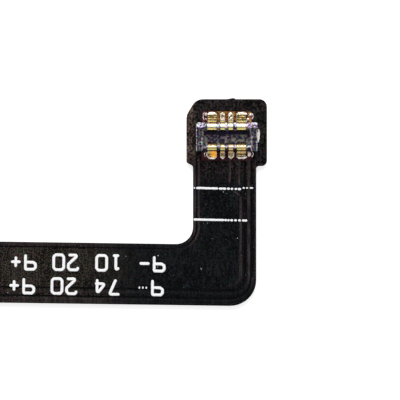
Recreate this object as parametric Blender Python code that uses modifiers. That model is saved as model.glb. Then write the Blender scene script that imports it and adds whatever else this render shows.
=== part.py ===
"""Mobile phone battery: a pouch cell, its protection board, and an L-shaped flexible lead that ends in a plug.

The pack lies on its back. X runs along the pack towards the lead, Y runs across it and Z points up.
The origin is the centre of the pack's back face. All sizes are in metres.
"""

import math

import bmesh
import bpy
from mathutils import Matrix, Vector

# Pack
PACK_LENGTH = 0.074
PACK_WIDTH = 0.050
PACK_THICKNESS = 0.0043
SEAT_GAP = 0.00001

# Sleeve of film round the cell
SLEEVE_THICKNESS = 0.0001
SLEEVE_SETBACK = 0.0011
SLEEVE_TOP_RADIUS = 0.0009

# Pouch cell
CELL_CORNER_RADIUS = 0.0022
CELL_RIM_RADIUS = 0.0008
CELL_FOOT_RADIUS = 0.00025
SIDE_SEAL_THICKNESS = 0.00015
SIDE_SEAL_STANDOFF = 0.0001
SIDE_SEAL_HEIGHT = 0.0031
SIDE_SEAL_BEND = 0.00025
SIDE_SEAL_INSET = 0.0030
SIDE_SEAL_ROOT = 0.0015
TERRACE_SETBACK = 0.0010
TERRACE_INSET = 0.00264
TERRACE_THICKNESS = 0.0003
TERRACE_CORNER_RADIUS = 0.0008
TERRACE_ROOT = 0.0025

# Cell tabs and what they leave the pouch through
TAB_WIDTH = 0.0040
TAB_THICKNESS = 0.0001
TAB_OFFSET = 0.0130
TAB_BEND = 0.0002
TAB_END_CLEARANCE = 0.00012
TAB_OVERLAP = 0.0025
TAB_SEAL_LENGTH = 0.0004
TAB_SEAL_MARGIN = 0.0006
TAB_SEAL_WALL = 0.00007
INSULATOR_THICKNESS = 0.00005
INSULATOR_MARGIN = 0.0002

# Protection board and what is on it
BOARD_END_MARGIN = 0.0020
BOARD_WIDTH = 0.0031
BOARD_THICKNESS = 0.0006
BOARD_CORNER_RADIUS = 0.0003
BOARD_SETBACK = 0.00045
BOARD_CELL_CLEARANCE = 0.00045
WELD_PLATE_LENGTH = 0.0036
WELD_PLATE_WIDTH = 0.0023
WELD_PLATE_THICKNESS = 0.0001
PART_SPACING = 0.0004
CHIP_LEAD_WIDTH = 0.0004
CHIP_LEAD_THICKNESS = 0.00012
CHIP_STANDOFF = 0.00005
PASSIVE_CAP_SHARE = 0.24
PASSIVE_CAP_PROUD = 0.00003

# Bodies of the parts on the board: across the board, along it, and high
PROTECTION_CHIP = (0.0016, 0.0022, 0.0006)
SWITCH_TRANSISTOR = (0.0020, 0.0034, 0.0007)
THERMAL_CUTOFF = (0.0020, 0.0016, 0.0006)
SENSE_RESISTOR = (0.0020, 0.0012, 0.0004)
SMALL_CAPACITOR = (0.0016, 0.0008, 0.0006)
SMALL_RESISTOR = (0.0016, 0.0008, 0.0004)

# Tape round the board
TAPE_THICKNESS = 0.00008
TAPE_SIDE_INSET = 0.0005
TAPE_TOP_HEIGHT = 0.00215
TAPE_FLANGE_HEIGHT = 0.0011
TAPE_TOP_BEND = 0.00045
TAPE_LOW_BEND = 0.0003
TAPE_SLOT_CLEARANCE = 0.00008

# Flexible lead
LEAD_THICKNESS = 0.00012
LEAD_REACH = 0.01748
LEAD_TUCK = 0.0024
LEAD_OFFSET = 0.0020
LEAD_DROP_START = 0.0004
LEAD_DROP_LENGTH = 0.0042
LEAD_DROP_STEPS = 12
RUN_WIDTH = 0.00298
RUN_TILT = math.radians(0.8)
LEG_WIDTH = 0.00308
LEG_LENGTH = 0.00683
OUTER_BEND_RADIUS = 0.00127
INNER_BEND_RADIUS = 0.00083
LEAD_JOINT_WIDTH = 0.00045
LEAD_JOINT_LENGTH = 0.0007
LEAD_JOINT_HEIGHT = 0.0002
LEAD_JOINT_COUNT = 4

# Head of the lead
HEAD_WIDTH = 0.00392
HEAD_LENGTH = 0.00326
HEAD_SHIFT = 0.0001
HEAD_CORNER_RADIUS = 0.00037
HEAD_CHAMFER_WIDTH = 0.00047
HEAD_CHAMFER_LENGTH = 0.00078
HEAD_CHAMFER_RADIUS = 0.0006
SHOULDER_RADIUS = 0.00026
SHOULDER_DROP = 0.00017
NECK_RADIUS = 0.00014
STUB_WIDTH = 0.0004
STUB_HEIGHT = 0.00005
STUB_SHIFT = 0.00021
STIFFENER_THICKNESS = 0.0002
STIFFENER_INSET = 0.00006
STIFFENER_CORNER_RADIUS = 0.00025

# Plug housing
HOUSING_LENGTH = 0.00298
HOUSING_WIDTH = 0.00138
HOUSING_HEIGHT = 0.00062
HOUSING_SETBACK = 0.00184
END_WALL_LENGTH = 0.00037
END_BLOCK_RISE = 0.00004
END_BLOCK_RADIUS = 0.00005
END_BLOCK_PROUD = 0.00001
SLOT_WIDTH = 0.00057
SLOT_FLOOR = 0.00016
SLOT_FILLET = 0.00004
WALL_SLOPE = math.radians(21)
WALL_CROWN_RADIUS = 0.00021
WALL_SHOULDER_RADIUS = 0.00009

# Contacts and their solder joints
CONTACT_THICKNESS = 0.00007
CONTACT_PROUD = 0.000015
CONTACT_CLEARANCE = 0.000008
GROOVE_SPARE = 0.0002
CONTACT_HEEL_BEND = 0.00008
CONTACT_TOE = 0.00040
CONTACT_FOOT_LIFT = 0.00003
WIDE_CONTACT = 0.00044
NARROW_CONTACT = 0.00021
WIDE_CONTACT_OFFSET = 0.000715
NARROW_CONTACT_OFFSET = 0.0002
JOINT_MARGIN = 0.00004
OUTER_JOINT_MARGIN = 0.00028
UPPER_JOINT_TOE = 0.00014
LOWER_JOINT_TOE = 0.00006
JOINT_TOE_HEIGHT = 0.00008

# Hold-down tabs at the plug's ends
HOLD_DOWN_WIDTH = 0.00051
HOLD_DOWN_THICKNESS = 0.00007
HOLD_DOWN_HEIGHT = 0.00040
HOLD_DOWN_FOOT = 0.00006
HOLD_DOWN_BEND = 0.00006
HOLD_DOWN_PROUD = 0.00002

# Places along X, worked out from the sizes above
PACK_END = PACK_LENGTH / 2
BOARD_OUTER = PACK_END - BOARD_SETBACK
BOARD_INNER = BOARD_OUTER - BOARD_WIDTH
BOARD_MIDDLE = (BOARD_OUTER + BOARD_INNER) / 2
CELL_END = BOARD_INNER - BOARD_CELL_CLEARANCE
CELL_LENGTH = CELL_END + PACK_END
TERRACE_END = PACK_END - TERRACE_SETBACK
LEAD_END = PACK_END - LEAD_TUCK

# Heights above the back face, and widths that follow the pack's
CELL_BOTTOM = SLEEVE_THICKNESS + SEAT_GAP
CELL_TOP = PACK_THICKNESS - CELL_BOTTOM
CELL_WIDTH = PACK_WIDTH - 2 * (CELL_BOTTOM + SIDE_SEAL_THICKNESS + SIDE_SEAL_STANDOFF)
TERRACE_WIDTH = CELL_WIDTH - 2 * TERRACE_INSET
TERRACE_TOP = CELL_BOTTOM + TERRACE_THICKNESS
BOARD_LENGTH = TERRACE_WIDTH - 2 * BOARD_END_MARGIN
TAPE_WIDTH = TERRACE_WIDTH - 2 * TAPE_SIDE_INSET
TAB_LOW = CELL_BOTTOM + TERRACE_THICKNESS / 2
INSULATOR_BOTTOM = TERRACE_TOP + SEAT_GAP
BOARD_BOTTOM = INSULATOR_BOTTOM + INSULATOR_THICKNESS + SEAT_GAP
BOARD_TOP = BOARD_BOTTOM + BOARD_THICKNESS
ON_BOARD = BOARD_TOP + SEAT_GAP
WELD_PLATE_TOP = ON_BOARD + WELD_PLATE_THICKNESS
LEAD_LOW = STIFFENER_THICKNESS + SEAT_GAP
LEAD_TOP = LEAD_LOW + LEAD_THICKNESS
ON_LEAD = LEAD_TOP + SEAT_GAP

# The lead's outer corner, its leg, its head and the plug
CORNER_X = PACK_END + LEAD_REACH
CORNER_Y = LEAD_OFFSET - RUN_WIDTH / 2 / math.cos(RUN_TILT) - LEAD_REACH * math.tan(RUN_TILT)
LEG_LEFT = CORNER_X - LEG_WIDTH
NECK_Y = CORNER_Y + LEG_LENGTH
HEAD_TOP = NECK_Y + HEAD_LENGTH
HEAD_MIDDLE = CORNER_X - LEG_WIDTH / 2 + HEAD_SHIFT
HEAD_LEFT = HEAD_MIDDLE - HEAD_WIDTH / 2
HEAD_RIGHT = HEAD_MIDDLE + HEAD_WIDTH / 2
WALL_FLANK = (HOUSING_WIDTH - SLOT_WIDTH) / 2 - WALL_CROWN_RADIUS
WALL_CREST_CENTRE = HOUSING_HEIGHT - WALL_CROWN_RADIUS
WALL_SHOULDER = WALL_CREST_CENTRE + WALL_CROWN_RADIUS / math.cos(WALL_SLOPE) - WALL_FLANK * math.tan(WALL_SLOPE)
PLUG = Vector((HEAD_MIDDLE, HEAD_TOP - HOUSING_SETBACK, ON_LEAD))


def clear_scene():
    for obj in list(bpy.data.objects):
        bpy.data.objects.remove(obj)


def new_collection(name):
    collection = bpy.data.collections.new(name)
    bpy.context.scene.collection.children.link(collection)
    return collection


def new_material(name, colour, roughness, metallic=0.0):
    material = bpy.data.materials.new(name)
    material.use_nodes = True
    material.diffuse_color = (*colour, 1.0)
    shader = material.node_tree.nodes["Principled BSDF"]
    shader.inputs["Base Color"].default_value = (*colour, 1.0)
    shader.inputs["Roughness"].default_value = roughness
    shader.inputs["Metallic"].default_value = metallic
    return material


clear_scene()
PARTS = new_collection("mobile_phone_battery")
CUTTERS = new_collection("cutters")

FOIL = new_material("pouch_foil", (0.72, 0.73, 0.75), 0.35, 1.0)
SLEEVE_FILM = new_material("sleeve_film", (0.02, 0.02, 0.023), 0.45)
AMBER_TAPE = new_material("amber_tape", (0.55, 0.27, 0.04), 0.3)
TAB_ALUMINIUM = new_material("tab_aluminium", (0.80, 0.81, 0.82), 0.4, 1.0)
NICKEL = new_material("nickel", (0.62, 0.60, 0.56), 0.35, 1.0)
TAB_SEAL = new_material("tab_seal", (0.85, 0.85, 0.82), 0.6)
INSULATOR = new_material("insulator_paper", (0.62, 0.70, 0.55), 0.8)
BOARD = new_material("board_mask", (0.01, 0.12, 0.05), 0.4)
CHIP = new_material("chip_resin", (0.02, 0.02, 0.022), 0.6)
CERAMIC = new_material("chip_ceramic", (0.45, 0.33, 0.22), 0.5)
SOLDER = new_material("solder", (0.75, 0.74, 0.72), 0.3, 1.0)
COVERLAY = new_material("black_coverlay", (0.010, 0.010, 0.011), 0.5)
STIFFENER = new_material("stiffener", (0.25, 0.13, 0.05), 0.5)
HOUSING = new_material("housing_resin", (0.045, 0.045, 0.06), 0.5)
GOLD = new_material("contact_gold", (0.85, 0.62, 0.25), 0.3, 1.0)


def add_object(name, mesh, material=None, collection=PARTS):
    """Link a mesh as an object; without a material it is a cutter."""
    obj = bpy.data.objects.new(name, mesh)
    if material:
        mesh.materials.clear()
        mesh.materials.append(material)
    else:
        collection = CUTTERS
        obj.hide_render = True
        obj.display_type = "WIRE"
    collection.objects.link(obj)
    return obj


def rounded_path(corners, closed=False, step=math.radians(18)):
    """Points along a path with each corner (across, along, radius) rounded by an arc."""
    points = []
    last = len(corners) - 1
    for index, (x, y, radius) in enumerate(corners):
        corner = Vector((x, y))
        if radius == 0 or (not closed and index in (0, last)):
            points.append(corner)
            continue
        before = (Vector(corners[index - 1][:2]) - corner).normalized()
        after = (Vector(corners[(index + 1) % (last + 1)][:2]) - corner).normalized()
        half_angle = before.angle(after) / 2
        centre = corner + (before + after).normalized() * radius / math.sin(half_angle)
        start = corner + before * radius / math.tan(half_angle) - centre
        end = corner + after * radius / math.tan(half_angle) - centre
        first_angle = math.atan2(start.y, start.x)
        sweep = math.atan2(start.cross(end), start.dot(end))
        count = max(1, math.ceil(abs(sweep) / step))
        for position in range(count + 1):
            angle = first_angle + sweep * position / count
            points.append(centre + radius * Vector((math.cos(angle), math.sin(angle))))
    return points


def plate_mesh(name, outlines, thickness):
    """A flat plate from z 0 upwards; a second outline inside the first is a hole."""
    curve = bpy.data.curves.new(name, "CURVE")
    curve.dimensions = "2D"
    curve.fill_mode = "BOTH"
    curve.extrude = thickness / 2
    for outline in outlines:
        spline = curve.splines.new("POLY")
        spline.points.add(len(outline) - 1)
        for point, place in zip(spline.points, outline):
            point.co = (*place, 0.0, 1.0)
        spline.use_cyclic_u = True
    holder = bpy.data.objects.new(name, curve)
    CUTTERS.objects.link(holder)
    depsgraph = bpy.context.evaluated_depsgraph_get()
    mesh = bpy.data.meshes.new_from_object(holder.evaluated_get(depsgraph))
    bpy.data.objects.remove(holder)
    shape = bmesh.new()
    shape.from_mesh(mesh)
    bmesh.ops.remove_doubles(shape, verts=shape.verts, dist=1e-7)
    bmesh.ops.dissolve_limit(shape, angle_limit=math.radians(1), verts=shape.verts, edges=shape.edges)
    bmesh.ops.recalc_face_normals(shape, faces=shape.faces)
    bmesh.ops.translate(shape, verts=shape.verts, vec=(0, 0, thickness / 2))
    shape.to_mesh(mesh)
    shape.free()
    return mesh


def bar_mesh(name, outlines, length):
    """A bar along X from x 0, with its section given as points (y, z)."""
    mesh = plate_mesh(name, outlines, length)
    mesh.transform(Matrix(((0, 0, 1), (1, 0, 0), (0, 1, 0))).to_4x4())
    return mesh


def plate(name, corners, bottom, thickness, material=None):
    mesh = plate_mesh(name, [rounded_path(corners, closed=True)], thickness)
    obj = add_object(name, mesh, material)
    obj.location.z = bottom
    return obj


def rectangle(low, high, radius):
    return [(low[0], low[1], radius), (high[0], low[1], radius), (high[0], high[1], radius), (low[0], high[1], radius)]


def box(name, size, centre, bottom, material=None):
    """A box of the given size (x, y, z) that stands on the height bottom."""
    mesh = bpy.data.meshes.new(name)
    shape = bmesh.new()
    bmesh.ops.create_cube(shape, size=1.0)
    bmesh.ops.scale(shape, verts=shape.verts, vec=size)
    shape.to_mesh(mesh)
    shape.free()
    obj = add_object(name, mesh, material)
    obj.location = (centre[0], centre[1], bottom + size[2] / 2)
    return obj


def folded_strip(name, path, width, thickness, material=None, place=(0, 0, 0), turn=0.0):
    """Sheet of one thickness that follows path (along X, height) and is width wide across Y, then turned about Z."""
    mesh = bpy.data.meshes.new(name)
    shape = bmesh.new()
    line = [shape.verts.new((along, -width / 2, height)) for along, height in path]
    edges = [shape.edges.new(pair) for pair in zip(line, line[1:])]
    sweep = bmesh.ops.extrude_edge_only(shape, edges=edges)
    moved = [item for item in sweep["geom"] if isinstance(item, bmesh.types.BMVert)]
    bmesh.ops.translate(shape, verts=moved, vec=(0, width, 0))
    shape.to_mesh(mesh)
    shape.free()
    obj = add_object(name, mesh, material)
    obj.location = place
    obj.rotation_euler.z = turn
    skin = obj.modifiers.new("thickness", "SOLIDIFY")
    skin.thickness = thickness
    skin.offset = 0
    skin.use_even_offset = True
    return obj


def round_edges(obj, radius, segments=2, angle=60):
    bevel = obj.modifiers.new("rounded_edges", "BEVEL")
    bevel.width = radius
    bevel.segments = segments
    bevel.limit_method = "ANGLE"
    bevel.angle_limit = math.radians(angle)
    return bevel


def round_rim(mesh, height, radius, segments):
    """Round the edges of a plate that lie at one height and leave its other edges sharp."""
    shape = bmesh.new()
    shape.from_mesh(mesh)
    level = radius / 100
    rim = [edge for edge in shape.edges if all(abs(vertex.co.z - height) < level for vertex in edge.verts)]
    bmesh.ops.bevel(shape, geom=rim, offset=radius, segments=segments, profile=0.5, affect="EDGES")
    shape.to_mesh(mesh)
    shape.free()


def combine(obj, other, operation="DIFFERENCE"):
    boolean = obj.modifiers.new(operation.lower(), "BOOLEAN")
    boolean.operation = operation
    boolean.solver = "EXACT"
    boolean.object = other


def shade(obj, angle=30):
    obj.data.shade_smooth()
    obj.data.set_sharp_from_angle(angle=math.radians(angle))


def make_pouch_cell():
    """The cell's drawn cup, with the sealed terrace at one end and the side seals folded up."""
    outline = rectangle((-PACK_END, -CELL_WIDTH / 2), (CELL_END, CELL_WIDTH / 2), CELL_CORNER_RADIUS)
    cell = plate("pouch_cell", outline, CELL_BOTTOM, CELL_TOP - CELL_BOTTOM, FOIL)
    round_rim(cell.data, CELL_TOP - CELL_BOTTOM, CELL_RIM_RADIUS, segments=4)
    round_rim(cell.data, 0, CELL_FOOT_RADIUS, segments=2)
    terrace_low = (CELL_END - TERRACE_ROOT, -TERRACE_WIDTH / 2)
    terrace_high = (TERRACE_END, TERRACE_WIDTH / 2)
    terrace_outline = rectangle(terrace_low, terrace_high, TERRACE_CORNER_RADIUS)
    terrace = plate("terrace", terrace_outline, CELL_BOTTOM, TERRACE_THICKNESS)
    combine(cell, terrace, "UNION")
    seal_out = CELL_WIDTH / 2 + SIDE_SEAL_STANDOFF + SIDE_SEAL_THICKNESS / 2
    seal_low = CELL_BOTTOM + SIDE_SEAL_THICKNESS / 2
    seal_path = rounded_path([
        (CELL_WIDTH / 2 - SIDE_SEAL_ROOT, seal_low, 0),
        (seal_out, seal_low, SIDE_SEAL_BEND),
        (seal_out, CELL_BOTTOM + SIDE_SEAL_HEIGHT, 0),
    ])
    seal_length = CELL_LENGTH - 2 * SIDE_SEAL_INSET
    seal_middle = (CELL_END - PACK_END) / 2
    for side, turn in (("left", math.radians(90)), ("right", math.radians(-90))):
        seal = folded_strip("side_seal_" + side, seal_path, seal_length, SIDE_SEAL_THICKNESS,
                            place=(seal_middle, 0, 0), turn=turn)
        combine(cell, seal, "UNION")
    shade(cell)


def make_cell_sleeve():
    """Film wrapped round the cell and its side seals, open at both ends."""
    low_radius = SIDE_SEAL_BEND + SIDE_SEAL_THICKNESS / 2 + CELL_BOTTOM

    def section(inset):
        low, high = inset, PACK_THICKNESS - inset
        side = PACK_WIDTH / 2 - inset
        return rounded_path([
            (-side, low, low_radius - inset),
            (side, low, low_radius - inset),
            (side, high, SLEEVE_TOP_RADIUS - inset),
            (-side, high, SLEEVE_TOP_RADIUS - inset),
        ], closed=True)

    length = CELL_LENGTH - 2 * SLEEVE_SETBACK
    mesh = bar_mesh("cell_sleeve", [section(0), section(SLEEVE_THICKNESS)], length)
    sleeve = add_object("cell_sleeve", mesh, SLEEVE_FILM)
    sleeve.location.x = SLEEVE_SETBACK - PACK_END
    shade(sleeve)


def make_tab(name, side, metal):
    """One cell tab: out through its seal, up round the board's edge and back onto its weld plate."""
    offset = side * TAB_OFFSET
    plate_name = name + "_weld_plate"
    bend_x = PACK_END - TAPE_THICKNESS - TAB_END_CLEARANCE - TAB_THICKNESS / 2
    high = WELD_PLATE_TOP + SEAT_GAP + TAB_THICKNESS / 2
    path = rounded_path([
        (TERRACE_END + SEAT_GAP, TAB_LOW, 0),
        (bend_x, TAB_LOW, TAB_BEND),
        (bend_x, high, TAB_BEND),
        (bend_x - TAB_OVERLAP, high, 0),
    ])
    folded_strip(name + "_tab", path, TAB_WIDTH, TAB_THICKNESS, metal, place=(0, offset, 0))
    seal_height = TAB_THICKNESS + 2 * SEAT_GAP + 2 * TAB_SEAL_WALL
    seal_centre = (TERRACE_END + SEAT_GAP + TAB_SEAL_LENGTH / 2, offset)
    seal_size = (TAB_SEAL_LENGTH, TAB_WIDTH + 2 * TAB_SEAL_MARGIN, seal_height)
    seal = box(name + "_tab_seal", seal_size, seal_centre, TAB_LOW - seal_height / 2, TAB_SEAL)
    slit_size = (2 * TAB_SEAL_LENGTH, TAB_WIDTH + 2 * SEAT_GAP, TAB_THICKNESS + 2 * SEAT_GAP)
    slit = box(name + "_slit", slit_size, seal_centre, TAB_LOW - slit_size[2] / 2)
    combine(seal, slit)
    plate_low = (BOARD_MIDDLE - WELD_PLATE_WIDTH / 2, offset - WELD_PLATE_LENGTH / 2)
    plate_high = (BOARD_MIDDLE + WELD_PLATE_WIDTH / 2, offset + WELD_PLATE_LENGTH / 2)
    outline = rectangle(plate_low, plate_high, BOARD_CORNER_RADIUS)
    plate(plate_name, outline, ON_BOARD, WELD_PLATE_THICKNESS, NICKEL)


def make_protection_board():
    low = (BOARD_INNER, -BOARD_LENGTH / 2)
    high = (BOARD_OUTER, BOARD_LENGTH / 2)
    board_outline = rectangle(low, high, BOARD_CORNER_RADIUS)
    plate("protection_board", board_outline, BOARD_BOTTOM, BOARD_THICKNESS, BOARD)
    strip_low = (CELL_END + INSULATOR_MARGIN, -TERRACE_WIDTH / 2 + INSULATOR_MARGIN)
    strip_high = (TERRACE_END, TERRACE_WIDTH / 2 - INSULATOR_MARGIN)
    strip_outline = rectangle(strip_low, strip_high, BOARD_CORNER_RADIUS)
    plate("terrace_insulator", strip_outline, INSULATOR_BOTTOM, INSULATOR_THICKNESS, INSULATOR)


def make_leaded_part(name, offset, body, leads):
    """A moulded chip along the board, with flat leads out of both long sides."""
    chip = box(name, body, (BOARD_MIDDLE, offset), ON_BOARD + CHIP_STANDOFF, CHIP)
    round_edges(chip, CHIP_STANDOFF, segments=1)
    pitch = body[1] / leads
    lead_size = (BOARD_WIDTH - 2 * CHIP_STANDOFF, CHIP_LEAD_WIDTH, CHIP_LEAD_THICKNESS)
    for number in range(leads):
        place = offset + (number - (leads - 1) / 2) * pitch
        lead = box(f"{name}_lead_{number + 1}", lead_size, (BOARD_MIDDLE, place), ON_BOARD)
        combine(chip, lead, "UNION")


def make_passive(name, offset, body, material):
    """A chip resistor or capacitor: a body between two slightly larger plated ends."""
    length, width, height = body
    part = box(name, body, (BOARD_MIDDLE, offset), ON_BOARD + PASSIVE_CAP_PROUD, material)
    cap_length = length * PASSIVE_CAP_SHARE
    cap_size = (cap_length, width + 2 * PASSIVE_CAP_PROUD, height + 2 * PASSIVE_CAP_PROUD)
    for side in (-1, 1):
        middle = BOARD_MIDDLE + side * (length - cap_length + PASSIVE_CAP_PROUD) / 2
        cap = box(f"{name}_cap_{side + 2}", cap_size, (middle, offset), ON_BOARD)
        combine(part, cap, "UNION")


def places_along_board(bodies, start, direction):
    """Middles of parts that stand in a row along the board, one spacing apart, away from start."""
    edge = start
    for body in bodies:
        yield edge + direction * (PART_SPACING + body[1] / 2)
        edge += direction * (PART_SPACING + body[1])


def make_board_parts():
    """Two rows of parts on the board, from the lead's two edges out towards the cell's tabs."""
    bodies = (PROTECTION_CHIP, SWITCH_TRANSISTOR, SENSE_RESISTOR, THERMAL_CUTOFF)
    chip, switch, sense, cutoff = places_along_board(bodies, run_edge(PACK_END, 0), -1)
    make_leaded_part("protection_chip", chip, PROTECTION_CHIP, leads=3)
    make_leaded_part("switch_transistor", switch, SWITCH_TRANSISTOR, leads=4)
    make_passive("sense_resistor", sense, SENSE_RESISTOR, CHIP)
    make_leaded_part("thermal_cutoff", cutoff, THERMAL_CUTOFF, leads=2)
    small_parts = (
        ("filter_capacitor", SMALL_CAPACITOR, CERAMIC),
        ("supply_resistor", SMALL_RESISTOR, CHIP),
        ("id_resistor", SMALL_RESISTOR, CHIP),
        ("thermistor", SMALL_CAPACITOR, CERAMIC),
    )
    places = places_along_board([part[1] for part in small_parts], run_edge(LEAD_END, RUN_WIDTH), 1)
    for (name, body, material), place in zip(small_parts, places):
        make_passive(name, place, body, material)


def make_board_tape():
    """Amber film from the cell's end face over the board, down its edge and back under the terrace."""
    half = TAPE_THICKNESS / 2
    cell_side = CELL_END + SEAT_GAP + half
    end = PACK_END - half
    top = TAPE_TOP_HEIGHT
    low = CELL_BOTTOM - SEAT_GAP - half
    path = rounded_path([
        (cell_side, top + TAPE_FLANGE_HEIGHT, 0),
        (cell_side, top, TAPE_THICKNESS),
        (end, top, TAPE_TOP_BEND),
        (end, low, TAPE_LOW_BEND),
        (CELL_END, low, 0),
    ])
    tape = folded_strip("board_tape", path, TAPE_WIDTH, TAPE_THICKNESS, AMBER_TAPE)
    slot_width = (RUN_WIDTH + 2 * TAPE_SLOT_CLEARANCE) / math.cos(RUN_TILT)
    slot_size = (4 * TAPE_THICKNESS, slot_width, LEAD_THICKNESS + 2 * TAPE_SLOT_CLEARANCE)
    slot = box("lead_slot", slot_size, (PACK_END, LEAD_OFFSET), ON_BOARD - TAPE_SLOT_CLEARANCE)
    combine(tape, slot)
    shade(tape)


def run_edge(x, width):
    """The run's lower edge at x, or a line width above it and parallel to it."""
    return CORNER_Y + (CORNER_X - x) * math.tan(RUN_TILT) + width / math.cos(RUN_TILT)


def head_corners():
    """The head from its right shoulder to its left one, with the chamfered corner and the snapped panel stub."""
    stub_left = HEAD_MIDDLE + STUB_SHIFT - STUB_WIDTH / 2
    stub_right = stub_left + STUB_WIDTH
    return [
        (HEAD_RIGHT, NECK_Y, SHOULDER_RADIUS),
        (HEAD_RIGHT, HEAD_TOP, HEAD_CORNER_RADIUS),
        (stub_right, HEAD_TOP, 0),
        (stub_right - STUB_HEIGHT / 2, HEAD_TOP + STUB_HEIGHT, 0),
        (stub_right - STUB_WIDTH / 3, HEAD_TOP + STUB_HEIGHT, 0),
        (stub_left, HEAD_TOP, 0),
        (HEAD_LEFT + HEAD_CHAMFER_WIDTH, HEAD_TOP, HEAD_CHAMFER_RADIUS),
        (HEAD_LEFT, HEAD_TOP - HEAD_CHAMFER_LENGTH, HEAD_CHAMFER_RADIUS),
        (HEAD_LEFT, NECK_Y + SHOULDER_DROP, NECK_RADIUS),
    ]


def lead_height(x):
    """How far the lead is above its lowest level, as it comes down from the board to the plug."""
    share = (PACK_END + LEAD_DROP_START + LEAD_DROP_LENGTH - x) / LEAD_DROP_LENGTH
    share = min(max(share, 0.0), 1.0)
    return (ON_BOARD - LEAD_LOW) * share * share * (3 - 2 * share)


def make_flex_lead():
    """The lead: run, rounded bend, leg and head in one flat outline, then bent down from the board's level."""
    corners = [
        (LEAD_END, run_edge(LEAD_END, 0), 0),
        (CORNER_X, CORNER_Y, OUTER_BEND_RADIUS),
        (CORNER_X, NECK_Y, NECK_RADIUS),
        *head_corners(),
        (LEG_LEFT, NECK_Y, NECK_RADIUS),
        (LEG_LEFT, run_edge(LEG_LEFT, RUN_WIDTH), INNER_BEND_RADIUS),
        (LEAD_END, run_edge(LEAD_END, RUN_WIDTH), 0),
    ]
    outline = rounded_path(corners, closed=True, step=math.radians(10))
    mesh = plate_mesh("flex_lead", [outline], LEAD_THICKNESS)
    shape = bmesh.new()
    shape.from_mesh(mesh)
    for step in range(LEAD_DROP_STEPS + 1):
        x = PACK_END + LEAD_DROP_START + LEAD_DROP_LENGTH * step / LEAD_DROP_STEPS
        everything = list(shape.verts) + list(shape.edges) + list(shape.faces)
        bmesh.ops.bisect_plane(shape, geom=everything, plane_co=(x, 0, 0), plane_no=(1, 0, 0))
    for vertex in shape.verts:
        vertex.co.z += LEAD_LOW + lead_height(vertex.co.x)
    shape.to_mesh(mesh)
    shape.free()
    shade(add_object("flex_lead", mesh, COVERLAY))


def make_lead_joints():
    """Solder joints between the lead's end and the board."""
    pitch = RUN_WIDTH / LEAD_JOINT_COUNT
    size = (LEAD_JOINT_LENGTH, LEAD_JOINT_WIDTH, LEAD_JOINT_HEIGHT)
    middle = LEAD_END - SEAT_GAP - LEAD_JOINT_LENGTH / 2
    for number in range(LEAD_JOINT_COUNT):
        y = run_edge(LEAD_END, (number + 0.5) * pitch)
        joint = box(f"lead_joint_{number + 1}", size, (middle, y), ON_BOARD, SOLDER)
        round_edges(joint, LEAD_JOINT_HEIGHT / 3)


def make_head_stiffener():
    low_y = NECK_Y + STIFFENER_INSET
    left, right = HEAD_LEFT + STIFFENER_INSET, HEAD_RIGHT - STIFFENER_INSET
    top = HEAD_TOP - STIFFENER_INSET
    corners = [
        (left, low_y + SHOULDER_DROP, STIFFENER_CORNER_RADIUS),
        (right, low_y, STIFFENER_CORNER_RADIUS),
        (right, top, STIFFENER_CORNER_RADIUS),
        (left + HEAD_CHAMFER_WIDTH, top, HEAD_CHAMFER_RADIUS),
        (left, top - HEAD_CHAMFER_LENGTH, HEAD_CHAMFER_RADIUS),
    ]
    plate("head_stiffener", corners, 0, STIFFENER_THICKNESS, STIFFENER)


def wall_corners(side=1, offset=0.0):
    """A wall's outer shoulder and its crest over the slot, as corners (across, up, radius), offset outward."""
    outer = HOUSING_WIDTH / 2 + offset
    inner = SLOT_WIDTH / 2 - offset
    level = WALL_SHOULDER + offset / math.cos(WALL_SLOPE)
    shoulder = level - offset * math.tan(WALL_SLOPE)
    crest = level + (HOUSING_WIDTH / 2 - inner) * math.tan(WALL_SLOPE)
    return [
        (side * outer, shoulder, WALL_SHOULDER_RADIUS + offset),
        (side * inner, crest, WALL_CROWN_RADIUS + offset),
    ]


def contact_path():
    """A contact's middle line, out from the plug's centre line: toe, heel, up the wall, over it and down inside."""
    half = CONTACT_THICKNESS / 2
    foot = CONTACT_FOOT_LIFT + SEAT_GAP + half
    shoulder, crest = wall_corners(offset=CONTACT_PROUD - half)
    return rounded_path([
        (HOUSING_WIDTH / 2 + CONTACT_TOE, foot, 0),
        (shoulder[0], foot, CONTACT_HEEL_BEND),
        shoulder,
        crest,
        (crest[0], SLOT_FLOOR + CONTACT_THICKNESS, 0),
    ], step=math.radians(23))


def groove_section(side):
    """Section of the cut that seats a contact: from its groove's floor to the air round the wall."""
    shoulder, crest = wall_corners(offset=CONTACT_PROUD - CONTACT_THICKNESS - CONTACT_CLEARANCE)
    low = SLOT_FLOOR + CONTACT_THICKNESS - CONTACT_CLEARANCE
    top = HOUSING_HEIGHT + GROOVE_SPARE
    outer = HOUSING_WIDTH / 2 + GROOVE_SPARE
    points = rounded_path([
        (shoulder[0], -GROOVE_SPARE, 0),
        shoulder,
        crest,
        (crest[0], low, 0),
        (crest[0] - GROOVE_SPARE, low, 0),
        (crest[0] - GROOVE_SPARE, top, 0),
        (outer, top, 0),
        (outer, -GROOVE_SPARE, 0),
    ], closed=True, step=math.radians(23))
    return [(side * across, up) for across, up in points]


def hold_down_path():
    """A hold-down's middle line, out from the plug's centre: foot, bend and up the end of the housing."""
    half = HOLD_DOWN_THICKNESS / 2
    foot = CONTACT_FOOT_LIFT + SEAT_GAP + half
    outer = HOUSING_LENGTH / 2 + HOLD_DOWN_PROUD - half
    return rounded_path([
        (outer + half + HOLD_DOWN_FOOT, foot, 0),
        (outer, foot, HOLD_DOWN_BEND),
        (outer, HOLD_DOWN_HEIGHT, 0),
    ], step=math.radians(23))


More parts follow.
